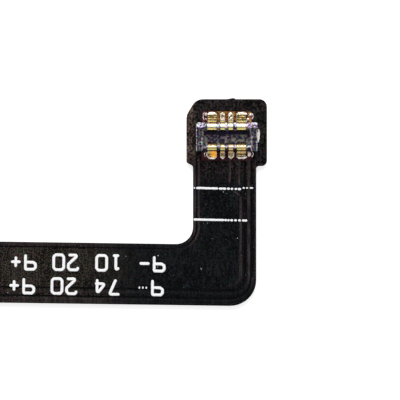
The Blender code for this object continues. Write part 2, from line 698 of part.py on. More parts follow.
def joint_path(toe, foot_length):
    """Section of a solder joint: a thin pad under the foot that swells into a fillet past its toe."""
    inner = HOUSING_WIDTH / 2 + SEAT_GAP
    foot_end = inner + foot_length
    return [
        (inner, 0, 0),
        (foot_end + toe, 0, 0),
        (foot_end + toe * 0.8, JOINT_TOE_HEIGHT * 0.55, 0),
        (foot_end + toe * 0.3, JOINT_TOE_HEIGHT, 0),
        (foot_end, JOINT_TOE_HEIGHT * 0.9, 0),
        (foot_end, CONTACT_FOOT_LIFT, 0),
        (inner, CONTACT_FOOT_LIFT, 0),
    ]


def make_joint(name, section, width, place, turn):
    """A solder joint with its section standing upright and its width across the row."""
    outline = [Vector(point[:2]) for point in section]
    joint = add_object(name, plate_mesh(name, [outline], width), SOLDER)
    joint.data.transform(upright_matrix(width))
    joint.location = place
    joint.rotation_euler.z = turn
    return joint


def upright_matrix(width):
    """Stands a flat plate's outline up, so that its second axis points up and its thickness is centred on Y."""
    return Matrix.Translation((0, width / 2, 0)) @ Matrix.Rotation(math.radians(90), 4, "X")


def make_plug():
    """Moulded housing with grooves for the contacts, and the contacts and hold-downs that sit in them."""
    section = rounded_path([
        (-HOUSING_WIDTH / 2, 0, 0),
        (HOUSING_WIDTH / 2, 0, 0),
        *wall_corners(),
        (SLOT_WIDTH / 2, SLOT_FLOOR, SLOT_FILLET),
        (-SLOT_WIDTH / 2, SLOT_FLOOR, SLOT_FILLET),
        *reversed(wall_corners(side=-1)),
    ], closed=True, step=math.radians(23))
    bar_length = HOUSING_LENGTH - END_WALL_LENGTH
    housing = add_object("connector_housing", bar_mesh("connector_housing", [section], bar_length), HOUSING)
    housing.location = PLUG - Vector((bar_length / 2, 0, 0))
    block_size = (END_WALL_LENGTH, HOUSING_WIDTH + 2 * END_BLOCK_PROUD, HOUSING_HEIGHT + END_BLOCK_RISE)
    for side in (-1, 1):
        middle = PLUG + Vector((side * (HOUSING_LENGTH - END_WALL_LENGTH) / 2, 0, 0))
        block = box(f"end_block_{side + 2}", block_size, middle, PLUG.z)
        round_edges(block, END_BLOCK_RADIUS)
        combine(housing, block, "UNION")

    path = contact_path()
    rows = (("upper", 1, UPPER_JOINT_TOE), ("lower", -1, LOWER_JOINT_TOE))
    columns = (
        (-WIDE_CONTACT_OFFSET, WIDE_CONTACT, OUTER_JOINT_MARGIN, JOINT_MARGIN),
        (-NARROW_CONTACT_OFFSET, NARROW_CONTACT, JOINT_MARGIN, JOINT_MARGIN),
        (NARROW_CONTACT_OFFSET, NARROW_CONTACT, JOINT_MARGIN, JOINT_MARGIN),
        (WIDE_CONTACT_OFFSET, WIDE_CONTACT, JOINT_MARGIN, OUTER_JOINT_MARGIN),
    )
    for row, wall_side, toe in rows:
        turn = math.radians(90) * wall_side
        for number, (offset, width, left_margin, right_margin) in enumerate(columns, start=1):
            place = PLUG + Vector((offset, 0, 0))
            folded_strip(f"{row}_contact_{number}", path, width, CONTACT_THICKNESS, GOLD, place, turn)
            groove = width + 2 * CONTACT_CLEARANCE
            cutter_mesh = bar_mesh(f"{row}_groove_{number}", [groove_section(wall_side)], groove)
            cutter = add_object(f"{row}_groove_{number}", cutter_mesh)
            cutter.location = place - Vector((groove / 2, 0, 0))
            combine(housing, cutter)
            joint_place = place + Vector(((right_margin - left_margin) / 2, 0, 0))
            joint_width = width + left_margin + right_margin
            make_joint(f"{row}_joint_{number}", joint_path(toe, CONTACT_TOE), joint_width, joint_place, turn)

    shift = (HOUSING_LENGTH - HOUSING_WIDTH) / 2
    for side, turn in (("left", math.radians(180)), ("right", 0.0)):
        tab = hold_down_path()
        folded_strip("hold_down_" + side, tab, HOLD_DOWN_WIDTH, HOLD_DOWN_THICKNESS, SOLDER, PLUG, turn)
        cutter = folded_strip("hold_down_groove_" + side, tab, HOLD_DOWN_WIDTH + 2 * CONTACT_CLEARANCE,
                              HOLD_DOWN_THICKNESS + 2 * CONTACT_CLEARANCE, place=PLUG, turn=turn)
        combine(housing, cutter)
        outward = Vector((math.cos(turn) * shift, 0, 0))
        section = joint_path(HOLD_DOWN_FOOT, HOLD_DOWN_FOOT + HOLD_DOWN_PROUD)
        make_joint("hold_down_joint_" + side, section, HOLD_DOWN_WIDTH + 2 * JOINT_MARGIN, PLUG + outward, turn)
    shade(housing)


make_pouch_cell()
make_cell_sleeve()
make_tab("positive", 1, TAB_ALUMINIUM)
make_tab("negative", -1, NICKEL)
make_protection_board()
make_board_parts()
make_board_tape()
make_flex_lead()
make_lead_joints()
make_head_stiffener()
make_plug()
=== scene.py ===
"""Looks of the mobile phone battery: its pack, its protection board and its flexible lead with the plug.

Every size is in metres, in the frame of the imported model. X runs along the pack towards the lead.
"""

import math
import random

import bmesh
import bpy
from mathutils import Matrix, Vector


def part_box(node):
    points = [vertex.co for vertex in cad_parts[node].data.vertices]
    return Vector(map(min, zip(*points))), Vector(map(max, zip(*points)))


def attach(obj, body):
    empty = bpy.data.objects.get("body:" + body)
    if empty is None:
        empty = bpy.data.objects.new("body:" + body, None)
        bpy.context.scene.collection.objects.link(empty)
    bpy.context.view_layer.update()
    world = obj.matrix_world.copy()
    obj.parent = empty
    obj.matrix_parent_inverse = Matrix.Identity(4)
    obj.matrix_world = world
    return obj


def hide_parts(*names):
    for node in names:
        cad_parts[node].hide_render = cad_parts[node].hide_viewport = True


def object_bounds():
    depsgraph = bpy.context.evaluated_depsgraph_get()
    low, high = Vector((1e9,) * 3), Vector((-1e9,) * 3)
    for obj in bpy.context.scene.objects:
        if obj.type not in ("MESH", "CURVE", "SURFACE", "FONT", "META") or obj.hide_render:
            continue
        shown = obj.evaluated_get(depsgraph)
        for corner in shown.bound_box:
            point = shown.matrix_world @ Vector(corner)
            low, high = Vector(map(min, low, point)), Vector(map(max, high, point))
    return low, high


bl_info = {
    "name": "Phone battery finishes",
    "version": (1, 0, 0),
    "blender": (4, 5, 0),
    "location": "3D View > Sidebar > Battery",
    "description": "Dresses a phone battery, its board and its flexible lead with the plug",
    "category": "Object",
}

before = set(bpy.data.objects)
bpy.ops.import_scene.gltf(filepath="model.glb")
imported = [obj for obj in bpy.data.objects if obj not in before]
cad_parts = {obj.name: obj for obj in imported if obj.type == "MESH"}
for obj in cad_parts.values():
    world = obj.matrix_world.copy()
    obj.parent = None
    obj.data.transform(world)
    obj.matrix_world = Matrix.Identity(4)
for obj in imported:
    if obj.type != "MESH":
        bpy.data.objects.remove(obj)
CAD_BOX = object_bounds()

BODY = "root"
MM = 0.001
SEAT = 0.00001

# Places of the lead and of the plug, read from the frame
PLUG_LOW, PLUG_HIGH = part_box("connector_housing")
PLUG = (PLUG_LOW + PLUG_HIGH) / 2
PLUG.z = PLUG_LOW.z
LEAD_LOW_CORNER, LEAD_HIGH_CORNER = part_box("flex_lead")
HEAD_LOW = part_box("head_stiffener")[0]
LEAD_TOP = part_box("upper_joint_1")[0].z - SEAT
PACK_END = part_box("board_tape")[1].x
BOARD_LOW, BOARD_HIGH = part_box("protection_board")
BOARD_MIDDLE = (BOARD_LOW + BOARD_HIGH) / 2

# The lead's outline as the solid has it
RUN_TILT = math.radians(0.8)
RUN_WIDTH = 2.98 * MM
LEG_WIDTH = 3.08 * MM
LEG_LENGTH = 6.83 * MM
CORNER = Vector((PACK_END + 17.48 * MM, LEAD_LOW_CORNER.y))
LEG_LEFT = CORNER.x - LEG_WIDTH
NECK_Y = CORNER.y + LEG_LENGTH
DROP_START = PACK_END + 0.4 * MM
DROP_LENGTH = 4.2 * MM
DROP_POINTS = 24

# The photograph's frame: its width, and its middle measured from the plug
VIEW_WIDTH = 19.48 * MM
VIEW_FROM_PLUG = Vector((-1.30, -3.073)) * MM
CAMERA_HEIGHT = 0.35
SENSOR_WIDTH = 36.0

# The plug's two rows of contacts: name, turn about the plug's middle, and side. The outer contacts are wide.
ROWS = (("upper", 0.0, 1), ("lower", math.pi, -1))
CONTACTS = range(1, 5)
WIDE_CONTACTS = (1, 4)
# A contact's foot: its steps, its scores and dimple out from the housing's wall, and the end wet with solder
FOOT_STEPS = 40
SCORE_START = 0.157 * MM
SCORE_PITCH = 0.098 * MM
SCORE_COUNT = 3
DIMPLE_PLACE = 0.30 * MM
TOE_WETTING = 0.04 * MM

# Points closer than this are one, and edges sharper than these angles stay sharp
MERGE = 1e-7
SHARP = math.radians(40)
SHARP_FORMED = math.radians(50)


def screen(red, green, blue):
    """A colour given as a screen shows it, from 0 to 255, in linear values."""
    def linear(value):
        share = value / 255
        return share / 12.92 if share <= 0.04045 else ((share + 0.055) / 1.055) ** 2.4
    return tuple(linear(value) for value in (red, green, blue))


def length(name, millimetres, description):
    return bpy.props.FloatProperty(name=name, default=millimetres * MM, min=0.0, precision=6,
                                   unit="LENGTH", description=description)


def colour(name, shown, description):
    return bpy.props.FloatVectorProperty(name=name, default=screen(*shown), size=3, min=0.0, max=1.0,
                                         subtype="COLOR", description=description)


def angle(name, degrees, description):
    return bpy.props.FloatProperty(name=name, default=math.radians(degrees), unit="ROTATION",
                                   description=description)


def power(name, watts, description):
    return bpy.props.FloatProperty(name=name, default=watts, min=0.0, unit="POWER", description=description)


def factor(name, value, description):
    return bpy.props.FloatProperty(name=name, default=value, min=0.0, max=1.0, subtype="FACTOR",
                                   description=description)


class LeadSettings(bpy.types.PropertyGroup):
    """Sizes and colours of the flexible lead's film, ridges and print."""

    film_cool: colour("Film at the bend", (15, 17, 19), "Colour of the black film on the bend and the leg")
    film_warm: colour("Film on the run", (40, 36, 32), "Colour of the black film on the run")
    film_brown: colour("Film on the head", (29, 26, 26), "Colour of the film on the head and by its neck")
    film_sheen: colour("Film at the head's side", (64, 53, 49), "Brown sheen down the side of the head")
    # The ridge colour is the browner film over copper, lightened as a painted highlight where the ridges catch
    # the light.
    ridge: colour("Ridges", (52, 44, 45), "Colour of the film where a copper track lifts it")
    # The groove colour paints the shade in the groove between two tracks.
    groove: colour("Grooves", (8, 8, 11), "Colour of the film between two tracks")
    copper: colour("Bare copper", (204, 140, 74), "Copper in the upper opening of the film")
    flux: colour("Flux", (100, 46, 56), "Copper under flux, in the lower opening and at an end of the other")
    ink: colour("Ink", (250, 250, 252), "White screen print")
    dust: colour("Dust", (226, 224, 220), "Dust specks")
    rim: length("Rim", 0.02, "Rounding of the film's cut edge")
    ridge_width: length("Ridge width", 0.11, "Width of a lifted track")
    ridge_height: length("Ridge height", 0.009, "How far a track lifts the film")
    groove_width: length("Groove width", 0.09, "Width of the line between two tracks")
    groove_height: length("Groove height", 0.006, "Height of the sweep that darkens that line")
    ink_height: length("Ink height", 0.012, "Thickness of the screen print")
    ink_corner: length("Ink corner", 0.055, "Rounding of a stroke's corner")
    ink_wobble: length("Ink wobble", 0.022, "Raggedness of a stroke's edge")
    stroke: length("Stroke", 0.14, "Width of a printed stroke")
    digit_width: length("Digit width", 0.49, "Width of a printed digit between its strokes' middles")
    digit_height: length("Digit height", 0.72, "Height of a printed digit between its strokes' middles")
    digit_pitch: length("Digit pitch", 0.715, "Distance between two digits of one mark")
    mark_pitch: length("Mark pitch", 2.09, "Distance between two marks")
    mark_start: length("First mark", 4.76, "Distance of the first mark's middle from the lead's outer corner")
    dust_size: length("Dust size", 0.035, "Usual size of a dust speck")


class PlugSettings(bpy.types.PropertyGroup):
    """Sizes and colours of the plug."""

    resin: colour("Resin", (72, 70, 66), "Moulded housing")
    resin_deep: colour("Deep resin", (30, 22, 48), "Purple tone of the housing in its patches and its shade")
    # The pale resin paints the highlight on the housing's crests, ends and mould marks.
    resin_edge: colour("Burnished resin", (214, 208, 224), "Pale burnish on the housing's crests and ends")
    gold: colour("Gold", (250, 232, 150), "Plated contacts")
    heat: colour("Heated gold", (255, 176, 60), "Orange tint of one soldered foot")
    # The stained gold is partly a real stain and partly painted shade, darker than the stain alone, on the
    # feet and folds.
    stain_and_shade: colour("Stained gold", (176, 152, 104), "Dull gold of the feet")
    # The score colour paints the shade in the scores and in the dark bands beside the folds.
    score: colour("Scores", (58, 42, 22), "Dark gold in the scores of the wide feet and beside the folds")
    solder: colour("Solder", (246, 240, 236), "Solder joints")
    solder_stain: colour("Solder stain", (186, 160, 156), "Flux stains in the solder")
    # This colour is the wetted gold at the toes, and it also paints the highlight on the crests.
    wetted_gold_and_highlight: colour("Wetted gold", (255, 248, 220), "Gold that solder has wetted")
    width: length("Housing width", 1.38, "Width of the housing across its walls")
    shoulder: length("Wall shoulder", 0.555, "Height at which a wall's outer face turns into its slope")
    slope: angle("Wall slope", 21, "Slope of a wall's outer shoulder")
    slot_width: length("Slot width", 0.57, "Width of the slot between the walls")
    slot_floor: length("Slot floor", 0.16, "Height of the slot's floor")
    slot_fillet: length("Slot fillet", 0.04, "Rounding at the slot's floor")
    crown: length("Crown", 0.21, "Rounding of a wall from its slope into the slot")
    shoulder_bend: length("Shoulder bend", 0.09, "Rounding of a wall's outer shoulder")
    end_wall: length("End block", 0.37, "Length of an end block")
    edge: length("Moulded edge", 0.012, "Rounding of the housing's small edges")
    block_edge: length("Block edge", 0.05, "Rounding of the end blocks")
    contact: length("Contact thickness", 0.07, "Thickness of a contact")
    proud: length("Contact proud", 0.015, "How far a contact stands out of its groove")
    clearance: length("Groove clearance", 0.012, "Gap between a contact and its groove")
    upper_toe: length("Upper toe", 0.44, "Length of an upper contact's foot outside the housing")
    lower_toe: length("Lower toe", 0.31, "Length of a lower contact's foot outside the housing")
    heel: length("Heel bend", 0.08, "Bend of a contact at its foot")
    foot_lift: length("Foot lift", 0.05, "Height of a contact's foot above the lead, next to the wall")
    foot_fall: length("Foot fall", 0.03, "How far the foot comes down to its toe")
    score_depth: length("Score depth", 0.012, "Depth of the scores across a wide contact's foot")
    score_width: length("Score width", 0.02, "Width of those scores")
    dimple: length("Dimple", 0.045, "Depth of the dimple in a narrow contact's foot")
    dimple_size: length("Dimple size", 0.04, "Radius of that dimple")
    bead: length("Solder bead", 0.11, "Width of the solder bead at a contact's toe")


class PackSettings(bpy.types.PropertyGroup):
    """Colours of the pack and of what is on its board."""

    film: colour("Sleeve", (26, 26, 28), "Dark film round the cell")
    foil: colour("Foil", (166, 168, 173), "Laminated foil of the pouch")
    tape: colour("Tape", (222, 150, 28), "Amber film tape")
    mask: colour("Board", (18, 84, 52), "Solder mask of the board")
    track: colour("Tracks", (42, 124, 78), "Solder mask over copper tracks")
    aluminium: colour("Aluminium", (204, 206, 208), "Positive tab")
    nickel: colour("Nickel", (188, 184, 176), "Negative tab and weld plates")
    seal: colour("Tab seal", (226, 226, 218), "Plastic at the cell's tabs")
    paper: colour("Insulator", (188, 200, 176), "Insulating strip under the board")
    resin: colour("Chip resin", (30, 30, 32), "Moulded chips")
    ceramic: colour("Ceramic", (168, 138, 108), "Ceramic chip parts")
    stiffener: colour("Stiffener", (150, 96, 48), "Stiff plate behind the plug")
    tape_sag: length("Tape sag", 0.16, "How far the tape sags between the parts under it")
    tape_cover: factor("Tape cover", 0.78, "How much the amber tape hides what is under it")


class StageSettings(bpy.types.PropertyGroup):
    """The floor and the lights."""

    floor: colour("Floor", (206, 206, 206), "Plain pale floor")
    floor_size: length("Floor size", 8000, "Side of the floor")
    floor_glow: factor("Floor glow", 0.7, "White that the camera sees added to the floor")
    sky: factor("Sky", 0.40, "Brightness of the plain surroundings")
    key_power: power("Key light", 11.0, "Power of the soft light above the plug's far side")
    key_size: length("Key size", 550, "Side of the key light")
    key_height: angle("Key height", 48, "Angle of the key light above the floor")
    fill_power: power("Fill light", 2.0, "Power of the soft light from the near side")
    fill_size: length("Fill size", 900, "Side of the fill light")
    fill_height: angle("Fill height", 26, "Angle of the fill light above the floor")
    light_distance: length("Light distance", 1200, "Distance of both lights from the battery")


BLACK = (0.0, 0.0, 0.0)
WHITE = (1.0, 1.0, 1.0)
FLOAT, INTEGER, VECTOR = "NodeSocketFloat", "NodeSocketInt", "NodeSocketVector"
COLOUR, GEOMETRY, MATERIAL = "NodeSocketColor", "NodeSocketGeometry", "NodeSocketMaterial"

# What the materials operator makes, by name
GROUPS = {}
FINISHES = {}


def rgba(value):
    return (*value, 1.0)


def shade_of(base, share):
    """The same colour with each value multiplied."""
    return tuple(min(1.0, value * share) for value in base)


class Wires:
    """Adds nodes to one node tree and joins them."""

    def __init__(self, tree):
        self.tree = tree

    def node(self, kind, inputs=None, **settings):
        """Each input takes a value, or the output socket that feeds it."""
        node = self.tree.nodes.new(kind)
        for name, value in settings.items():
            setattr(node, name, value)
        for key, value in (inputs or {}).items():
            self.feed(node.inputs[key], value)
        return node

    def feed(self, socket, value):
        if isinstance(value, bpy.types.NodeSocket):
            self.tree.links.new(value, socket)
        elif value is not None:
            socket.default_value = value

    def math(self, operation, *values, clamp=False):
        inputs = dict(enumerate(values))
        return self.node("ShaderNodeMath", inputs, operation=operation, use_clamp=clamp).outputs[0]

    def chain(self, operation, first, *others):
        """One operation over two or more values, from the left."""
        for other in others:
            first = self.math(operation, first, other)
        return first

    def plus(self, *values):
        return self.chain("ADD", *values)

    def minus(self, *values):
        return self.chain("SUBTRACT", *values)

    def times(self, *values):
        return self.chain("MULTIPLY", *values)

    def most(self, *values):
        return self.chain("MAXIMUM", *values)

    def apart(self, value, middle):
        """How far a value is from the middle, on either side."""
        return self.math("ABSOLUTE", self.minus(value, middle))

    def vector(self, operation, first, second):
        inputs = {0: first, "Scale" if operation == "SCALE" else 1: second}
        return self.node("ShaderNodeVectorMath", inputs, operation=operation).outputs["Vector"]

    def split(self, vector):
        return self.node("ShaderNodeSeparateXYZ", {"Vector": vector}).outputs

    def combine(self, **values):
        return self.node("ShaderNodeCombineXYZ", values).outputs["Vector"]

    def ease(self, value, low, high):
        """0 below low and 1 above high, with a smooth step between them."""
        inputs = {"Value": value, "From Min": low, "From Max": high}
        return self.node("ShaderNodeMapRange", inputs, interpolation_type="SMOOTHSTEP").outputs["Result"]

    def fade(self, value, origin, stretch):
        """0 to 1 over a stretch, whose two ends are in millimetres from the origin."""
        return self.ease(value, *(origin + reach * MM for reach in stretch))

    def spread(self, share, low, high):
        """A share from 0 to 1 brought to the range from low to high."""
        inputs = {"Value": share, "To Min": low, "To Max": high}
        return self.node("ShaderNodeMapRange", inputs).outputs["Result"]

    def mix(self, share, low, high):
        """Colours low and high are four-value colours or sockets."""
        inputs = {0: share, 6: low, 7: high}
        return self.node("ShaderNodeMix", inputs, data_type="RGBA").outputs[2]

    def tint(self, paint, value):
        """A colour with each of its values multiplied by one value."""
        inputs = {0: 1.0, 6: paint, 7: value}
        return self.node("ShaderNodeMix", inputs, data_type="RGBA", blend_type="MULTIPLY").outputs[2]

    def noise(self, vector, scale, detail=2.0, output="Fac"):
        inputs = {"Vector": vector, "Scale": scale, "Detail": detail}
        return self.node("ShaderNodeTexNoise", inputs).outputs[output]

    def uneven(self, vector, scale, depth):
        """A length that wavers round 0."""
        return self.times(self.minus(self.noise(vector, scale), 0.5), depth)

    def group(self, name, inputs):
        """What a shared group puts out."""
        return self.node("ShaderNodeGroup", inputs, node_tree=GROUPS[name]).outputs[0]

    def bands(self, value, stops):
        """Colours along a value: stops are (value, colour), in rising order."""
        first, last = stops[0][0], stops[-1][0]
        share = self.node("ShaderNodeMapRange", {"Value": value, "From Min": first, "From Max": last})
        ramp = self.node("ShaderNodeValToRGB", {"Fac": share.outputs["Result"]})
        places = ramp.color_ramp.elements
        places[0].color = rgba(stops[0][1])
        places[-1].color = rgba(stops[-1][1])
        for place, shown in stops[1:-1]:
            places.new((place - first) / (last - first)).color = rgba(shown)
        return ramp.outputs["Color"]


def new_group(name, kind, inputs, label, socket):
    """A node group with its inputs and one output; gives its wires, its inputs and the output's socket."""
    tree = bpy.data.node_groups.new(name, kind)
    for given, given_socket, default in inputs:
        made = tree.interface.new_socket(given, in_out="INPUT", socket_type=given_socket)
        if default is not None:
            made.default_value = default
    tree.interface.new_socket(label, in_out="OUTPUT", socket_type=socket)
    wires = Wires(tree)
    start = wires.node("NodeGroupInput")
    end = wires.node("NodeGroupOutput")
    return wires, start.outputs, end.inputs[0]


def patchy_tone():
    """Colour that wanders between two tones in patches, with a fine speckle over them."""
    wires, given, result = new_group("patchy_tone", "ShaderNodeTree", (
        ("Vector", VECTOR, None),
        ("Scale", FLOAT, 900.0),
        ("Speckle", FLOAT, 0.3),
        ("Softness", FLOAT, 0.18),
        ("Dark", COLOUR, rgba(BLACK)),
        ("Light", COLOUR, rgba(WHITE)),
    ), "Colour", COLOUR)
    patches = wires.noise(given["Vector"], given["Scale"], detail=3.0)
    speckle = wires.noise(given["Vector"], wires.times(given["Scale"], 14.0), detail=1.0)
    both = wires.plus(patches, wires.times(wires.minus(speckle, 0.5), given["Speckle"]))
    share = wires.ease(both, wires.minus(0.5, given["Softness"]), wires.plus(0.5, given["Softness"]))
    wires.feed(result, wires.mix(share, given["Dark"], given["Light"]))
    return wires.tree


def handled_gloss():
    """Roughness that changes slowly over the surface, as handling and wiping leave it."""
    wires, given, result = new_group("handled_gloss", "ShaderNodeTree", (
        ("Vector", VECTOR, None),
        ("Scale", FLOAT, 700.0),
        ("Smooth", FLOAT, 0.3),
        ("Rough", FLOAT, 0.5),
    ), "Roughness", FLOAT)
    share = wires.ease(wires.noise(given["Vector"], given["Scale"]), 0.35, 0.65)
    wires.feed(result, wires.spread(share, given["Smooth"], given["Rough"]))
    return wires.tree


def fine_grain():
    """Height of a fine grain, which can be drawn out along one axis."""
    wires, given, result = new_group("fine_grain", "ShaderNodeTree", (
        ("Vector", VECTOR, None),
        ("Scale", FLOAT, 9000.0),
        ("Stretch", VECTOR, (1.0, 1.0, 1.0)),
    ), "Height", FLOAT)
    drawn = wires.vector("MULTIPLY", given["Vector"], given["Stretch"])
    wires.feed(result, wires.noise(drawn, given["Scale"], detail=3.0))
    return wires.tree


def plated_ends():
    """1 past the ends of a part that is centred on one place along X, and 0 on its body."""
    wires, given, result = new_group("plated_ends", "ShaderNodeTree", (
        ("Vector", VECTOR, None),
        ("Middle", FLOAT, 0.0),
        ("Half Length", FLOAT, 0.001),
    ), "Mask", FLOAT)
    away = wires.apart(wires.split(given["Vector"])["X"], given["Middle"])
    wires.feed(result, wires.math("GREATER_THAN", away, given["Half Length"]))
    return wires.tree


def drawn_streaks():
    """Brightness that changes in fine streaks along one axis, round the value 1."""
    wires, given, result = new_group("drawn_streaks", "ShaderNodeTree", (
        ("Vector", VECTOR, None),
        ("Scale", FLOAT, 9000.0),
        ("Stretch", VECTOR, (1.0, 0.1, 1.0)),
        ("Depth", FLOAT, 0.5),
    ), "Brightness", FLOAT)
    drawn = wires.vector("MULTIPLY", given["Vector"], given["Stretch"])
    share = wires.ease(wires.noise(drawn, given["Scale"], detail=3.0), 0.36, 0.64)
    wires.feed(result, wires.spread(share, wires.minus(1.0, given["Depth"]), wires.plus(1.0, given["Depth"])))
    return wires.tree


def tinted_speckle():
    """Colour round white whose hue and brightness change from grain to grain."""
    wires, given, result = new_group("tinted_speckle", "ShaderNodeTree", (
        ("Vector", VECTOR, None),
        ("Scale", FLOAT, 11000.0),
        ("Depth", FLOAT, 2.0),
    ), "Colour", COLOUR)
    grains = wires.noise(given["Vector"], given["Scale"], detail=1.0, output="Color")
    scaled = wires.vector("SCALE", wires.vector("SUBTRACT", grains, (0.5, 0.5, 0.5)), given["Depth"])
    lifted = wires.vector("ADD", scaled, (1.0, 1.0, 1.0))
    wires.feed(result, wires.vector("MAXIMUM", lifted, (0.1, 0.1, 0.1)))
    return wires.tree


def soft_spot():
    """1 round a centre and 0 beyond a radius, with an uneven border."""
    wires, given, result = new_group("soft_spot", "ShaderNodeTree", (
        ("Vector", VECTOR, None),
        ("Centre", VECTOR, None),
        ("Radius", FLOAT, 0.2 * MM),
    ), "Mask", FLOAT)
    away = wires.node("ShaderNodeVectorMath", {0: given["Vector"], 1: given["Centre"]},
                      operation="DISTANCE").outputs["Value"]
    border = wires.plus(0.5, wires.noise(given["Vector"], 9000.0))
    share = wires.math("DIVIDE", wires.times(away, border), given["Radius"])
    wires.feed(result, wires.ease(share, 1.0, 0.55))
    return wires.tree


class Finish:
    """A material that starts from the shared groups and takes its own colours, gloss and grain."""

    def __init__(self, name, metallic=0.0, specular=0.5):
        material = bpy.data.materials.new(name)
        material.use_nodes = True
        FINISHES[name] = material
        self.wires = Wires(material.node_tree)
        self.shader = material.node_tree.nodes["Principled BSDF"]
        self.shader.inputs["Metallic"].default_value = metallic
        self.shader.inputs["Specular IOR Level"].default_value = specular
        self.coords = self.wires.node("ShaderNodeTexCoord").outputs["Object"]

    def shared(self, group, inputs):
        """What a shared group puts out at this piece's coordinates."""
        return self.wires.group(group, {"Vector": self.coords, **inputs})

    def tone(self, dark, light, scale=900.0, speckle=0.3, softness=0.18):
        return self.shared("patchy_tone", {"Scale": scale, "Speckle": speckle, "Softness": softness,
                                           "Dark": rgba(dark), "Light": rgba(light)})

    def shades(self, base, dark, light, *patches):
        """Patches of one colour, between two shares of it."""
        return self.tone(shade_of(base, dark), shade_of(base, light), *patches)

    def streaks(self, scale, depth):
        return self.shared("drawn_streaks", {"Scale": scale, "Depth": depth})

    def speckled(self, paint, scale, depth):
        return self.wires.tint(paint, self.shared("tinted_speckle", {"Scale": scale, "Depth": depth}))

    def spot(self, centre, radius):
        return self.shared("soft_spot", {"Centre": centre, "Radius": radius})

    def paint(self, socket):
        self.wires.feed(self.shader.inputs["Base Color"], socket)
        return self

    def gloss(self, smooth, rough, scale):
        made = self.shared("handled_gloss", {"Scale": scale, "Smooth": smooth, "Rough": rough})
        self.wires.feed(self.shader.inputs["Roughness"], made)
        return self

    def grain(self, scale, depth, stretch=(1.0, 1.0, 1.0)):
        """A bump whose full height is depth, in metres."""
        height = self.shared("fine_grain", {"Scale": scale, "Stretch": stretch})
        bump = self.wires.node("ShaderNodeBump", {"Height": height, "Distance": depth, "Strength": 1.0})
        self.wires.feed(self.shader.inputs["Normal"], bump.outputs["Normal"])
        return self


# Scale of a noise with grains of about 0.1 mm, for the pale and dark specks of the plug and the copper by it
FINE = 9000.0
# Stretches over which the tone of the film changes, in millimetres: along the run from the lead's corner, up
# past the neck, and for the sheen in from the head's left side and up past the neck
RUN_WARMS = (-5.0, -9.4)
HEAD_BROWNS = (-0.9, -0.2)
SHEEN_ACROSS = (0.50, 0.14)
SHEEN_UP = (-0.1, 0.6)


def film_finish(lead):
    """Black film of the lead: cool on the bend, browner on the run and the head, with a sheen at the side."""
    finish = Finish("black_film", specular=0.02)
    wires = finish.wires
    place = wires.split(finish.coords)
    cool = finish.shades(lead.film_cool, 0.4, 1.75, 1000.0, 2.2, 0.12)
    warm = finish.shades(lead.film_warm, 0.12, 1.85, 1100.0, 3.0, 0.08)
    brown = finish.shades(lead.film_brown, 0.05, 1.95, 11000.0, 0.6, 0.03)
    sheen = finish.shades(lead.film_sheen, 0.1, 1.9, 11000.0, 0.6, 0.03)
    on_run = wires.fade(place["X"], CORNER.x, RUN_WARMS)
    on_head = wires.fade(place["Y"], NECK_Y, HEAD_BROWNS)
    head_side = wires.times(wires.fade(place["X"], HEAD_LOW.x, SHEEN_ACROSS),
                            wires.fade(place["Y"], NECK_Y, SHEEN_UP))
    base = wires.mix(on_head, wires.mix(on_run, cool, warm), brown)
    blend = wires.mix(head_side, base, sheen)
    finish.paint(finish.speckled(wires.tint(blend, finish.streaks(12000.0, 0.4)), 12000.0, 2.0))
    finish.gloss(0.38, 0.55, 900.0).grain(14000.0, 0.008 * MM)


# The same for the ridges: up from the corner, in from the leg's left edge, and along the run, with the share
# of brown that shows there
RIDGE_UP = (0.75, 1.7)
RIDGE_ACROSS = (-0.5, 0.15)
RIDGE_RUN = (-4.5, -9.5)
RIDGE_RUN_SHARE = 0.75


def ridge_finish(lead):
    """Film over a track: brown on the leg, partly a painted highlight, hardly seen along the run by the bend.
    """
    finish = Finish("lifted_film", specular=0.03)
    wires = finish.wires
    place = wires.split(finish.coords)
    # Lighter brown on the ridges: partly the film's tint over copper, partly a painted highlight.
    lifted = finish.shades(lead.ridge, 0.55, 1.3, 2500.0, 1.4)
    plain = finish.shades(lead.film_cool, 0.6, 1.7, 1500.0, 1.6)
    on_leg = wires.times(wires.fade(place["Y"], CORNER.y, RIDGE_UP),
                         wires.fade(place["X"], LEG_LEFT, RIDGE_ACROSS))
    far_run = wires.times(wires.fade(place["X"], CORNER.x, RIDGE_RUN), RIDGE_RUN_SHARE)
    blend = wires.mix(wires.most(on_leg, far_run), plain, lifted)
    finish.paint(finish.speckled(wires.tint(blend, finish.streaks(12000.0, 0.35)), 12000.0, 1.8))
    finish.gloss(0.4, 0.55, 900.0).grain(14000.0, 0.006 * MM)


# The openings' ends, in millimetres from the plug's middle: where flux begins, and the left and lower borders
# of the bare end, which is painted lighter as lit copper
FLUX_FROM = (0.9, 0.95)
BARE_FROM = (1.02, 1.06)
BARE_ABOVE = (0.0, 0.1)


def opening_finish(name, copper, flux, metallic):
    """An opening: copper painted shaded between contacts and lit at the upper right end, dark flux at other
    ends.
    """
    finish = Finish(name, metallic, specular=0.05)
    wires = finish.wires
    place = wires.split(finish.coords)
    at_ends = wires.fade(wires.apart(place["X"], PLUG.x), 0.0, FLUX_FROM)
    bare_lit_end = wires.times(wires.fade(place["X"], PLUG.x, BARE_FROM),
                           wires.fade(place["Y"], PLUG.y, BARE_ABOVE))
    # Painted light and shade: the copper is darker between the contacts, which shade it, and lighter at the
    # upper right end.
    bare = finish.shades(copper, 0.08, 0.48, FINE, 0.4, 0.1)
    dark = finish.shades(flux, 0.12, 1.0, 5200.0, 1.2)
    lit = finish.shades(copper, 0.15, 0.95, FINE, 0.4, 0.1)
    blend = wires.mix(bare_lit_end, wires.mix(at_ends, bare, dark), lit)
    finish.paint(finish.speckled(blend, 15000.0, 2.4))
    finish.gloss(0.25, 0.5, 5200.0).grain(26000.0, 0.006 * MM)


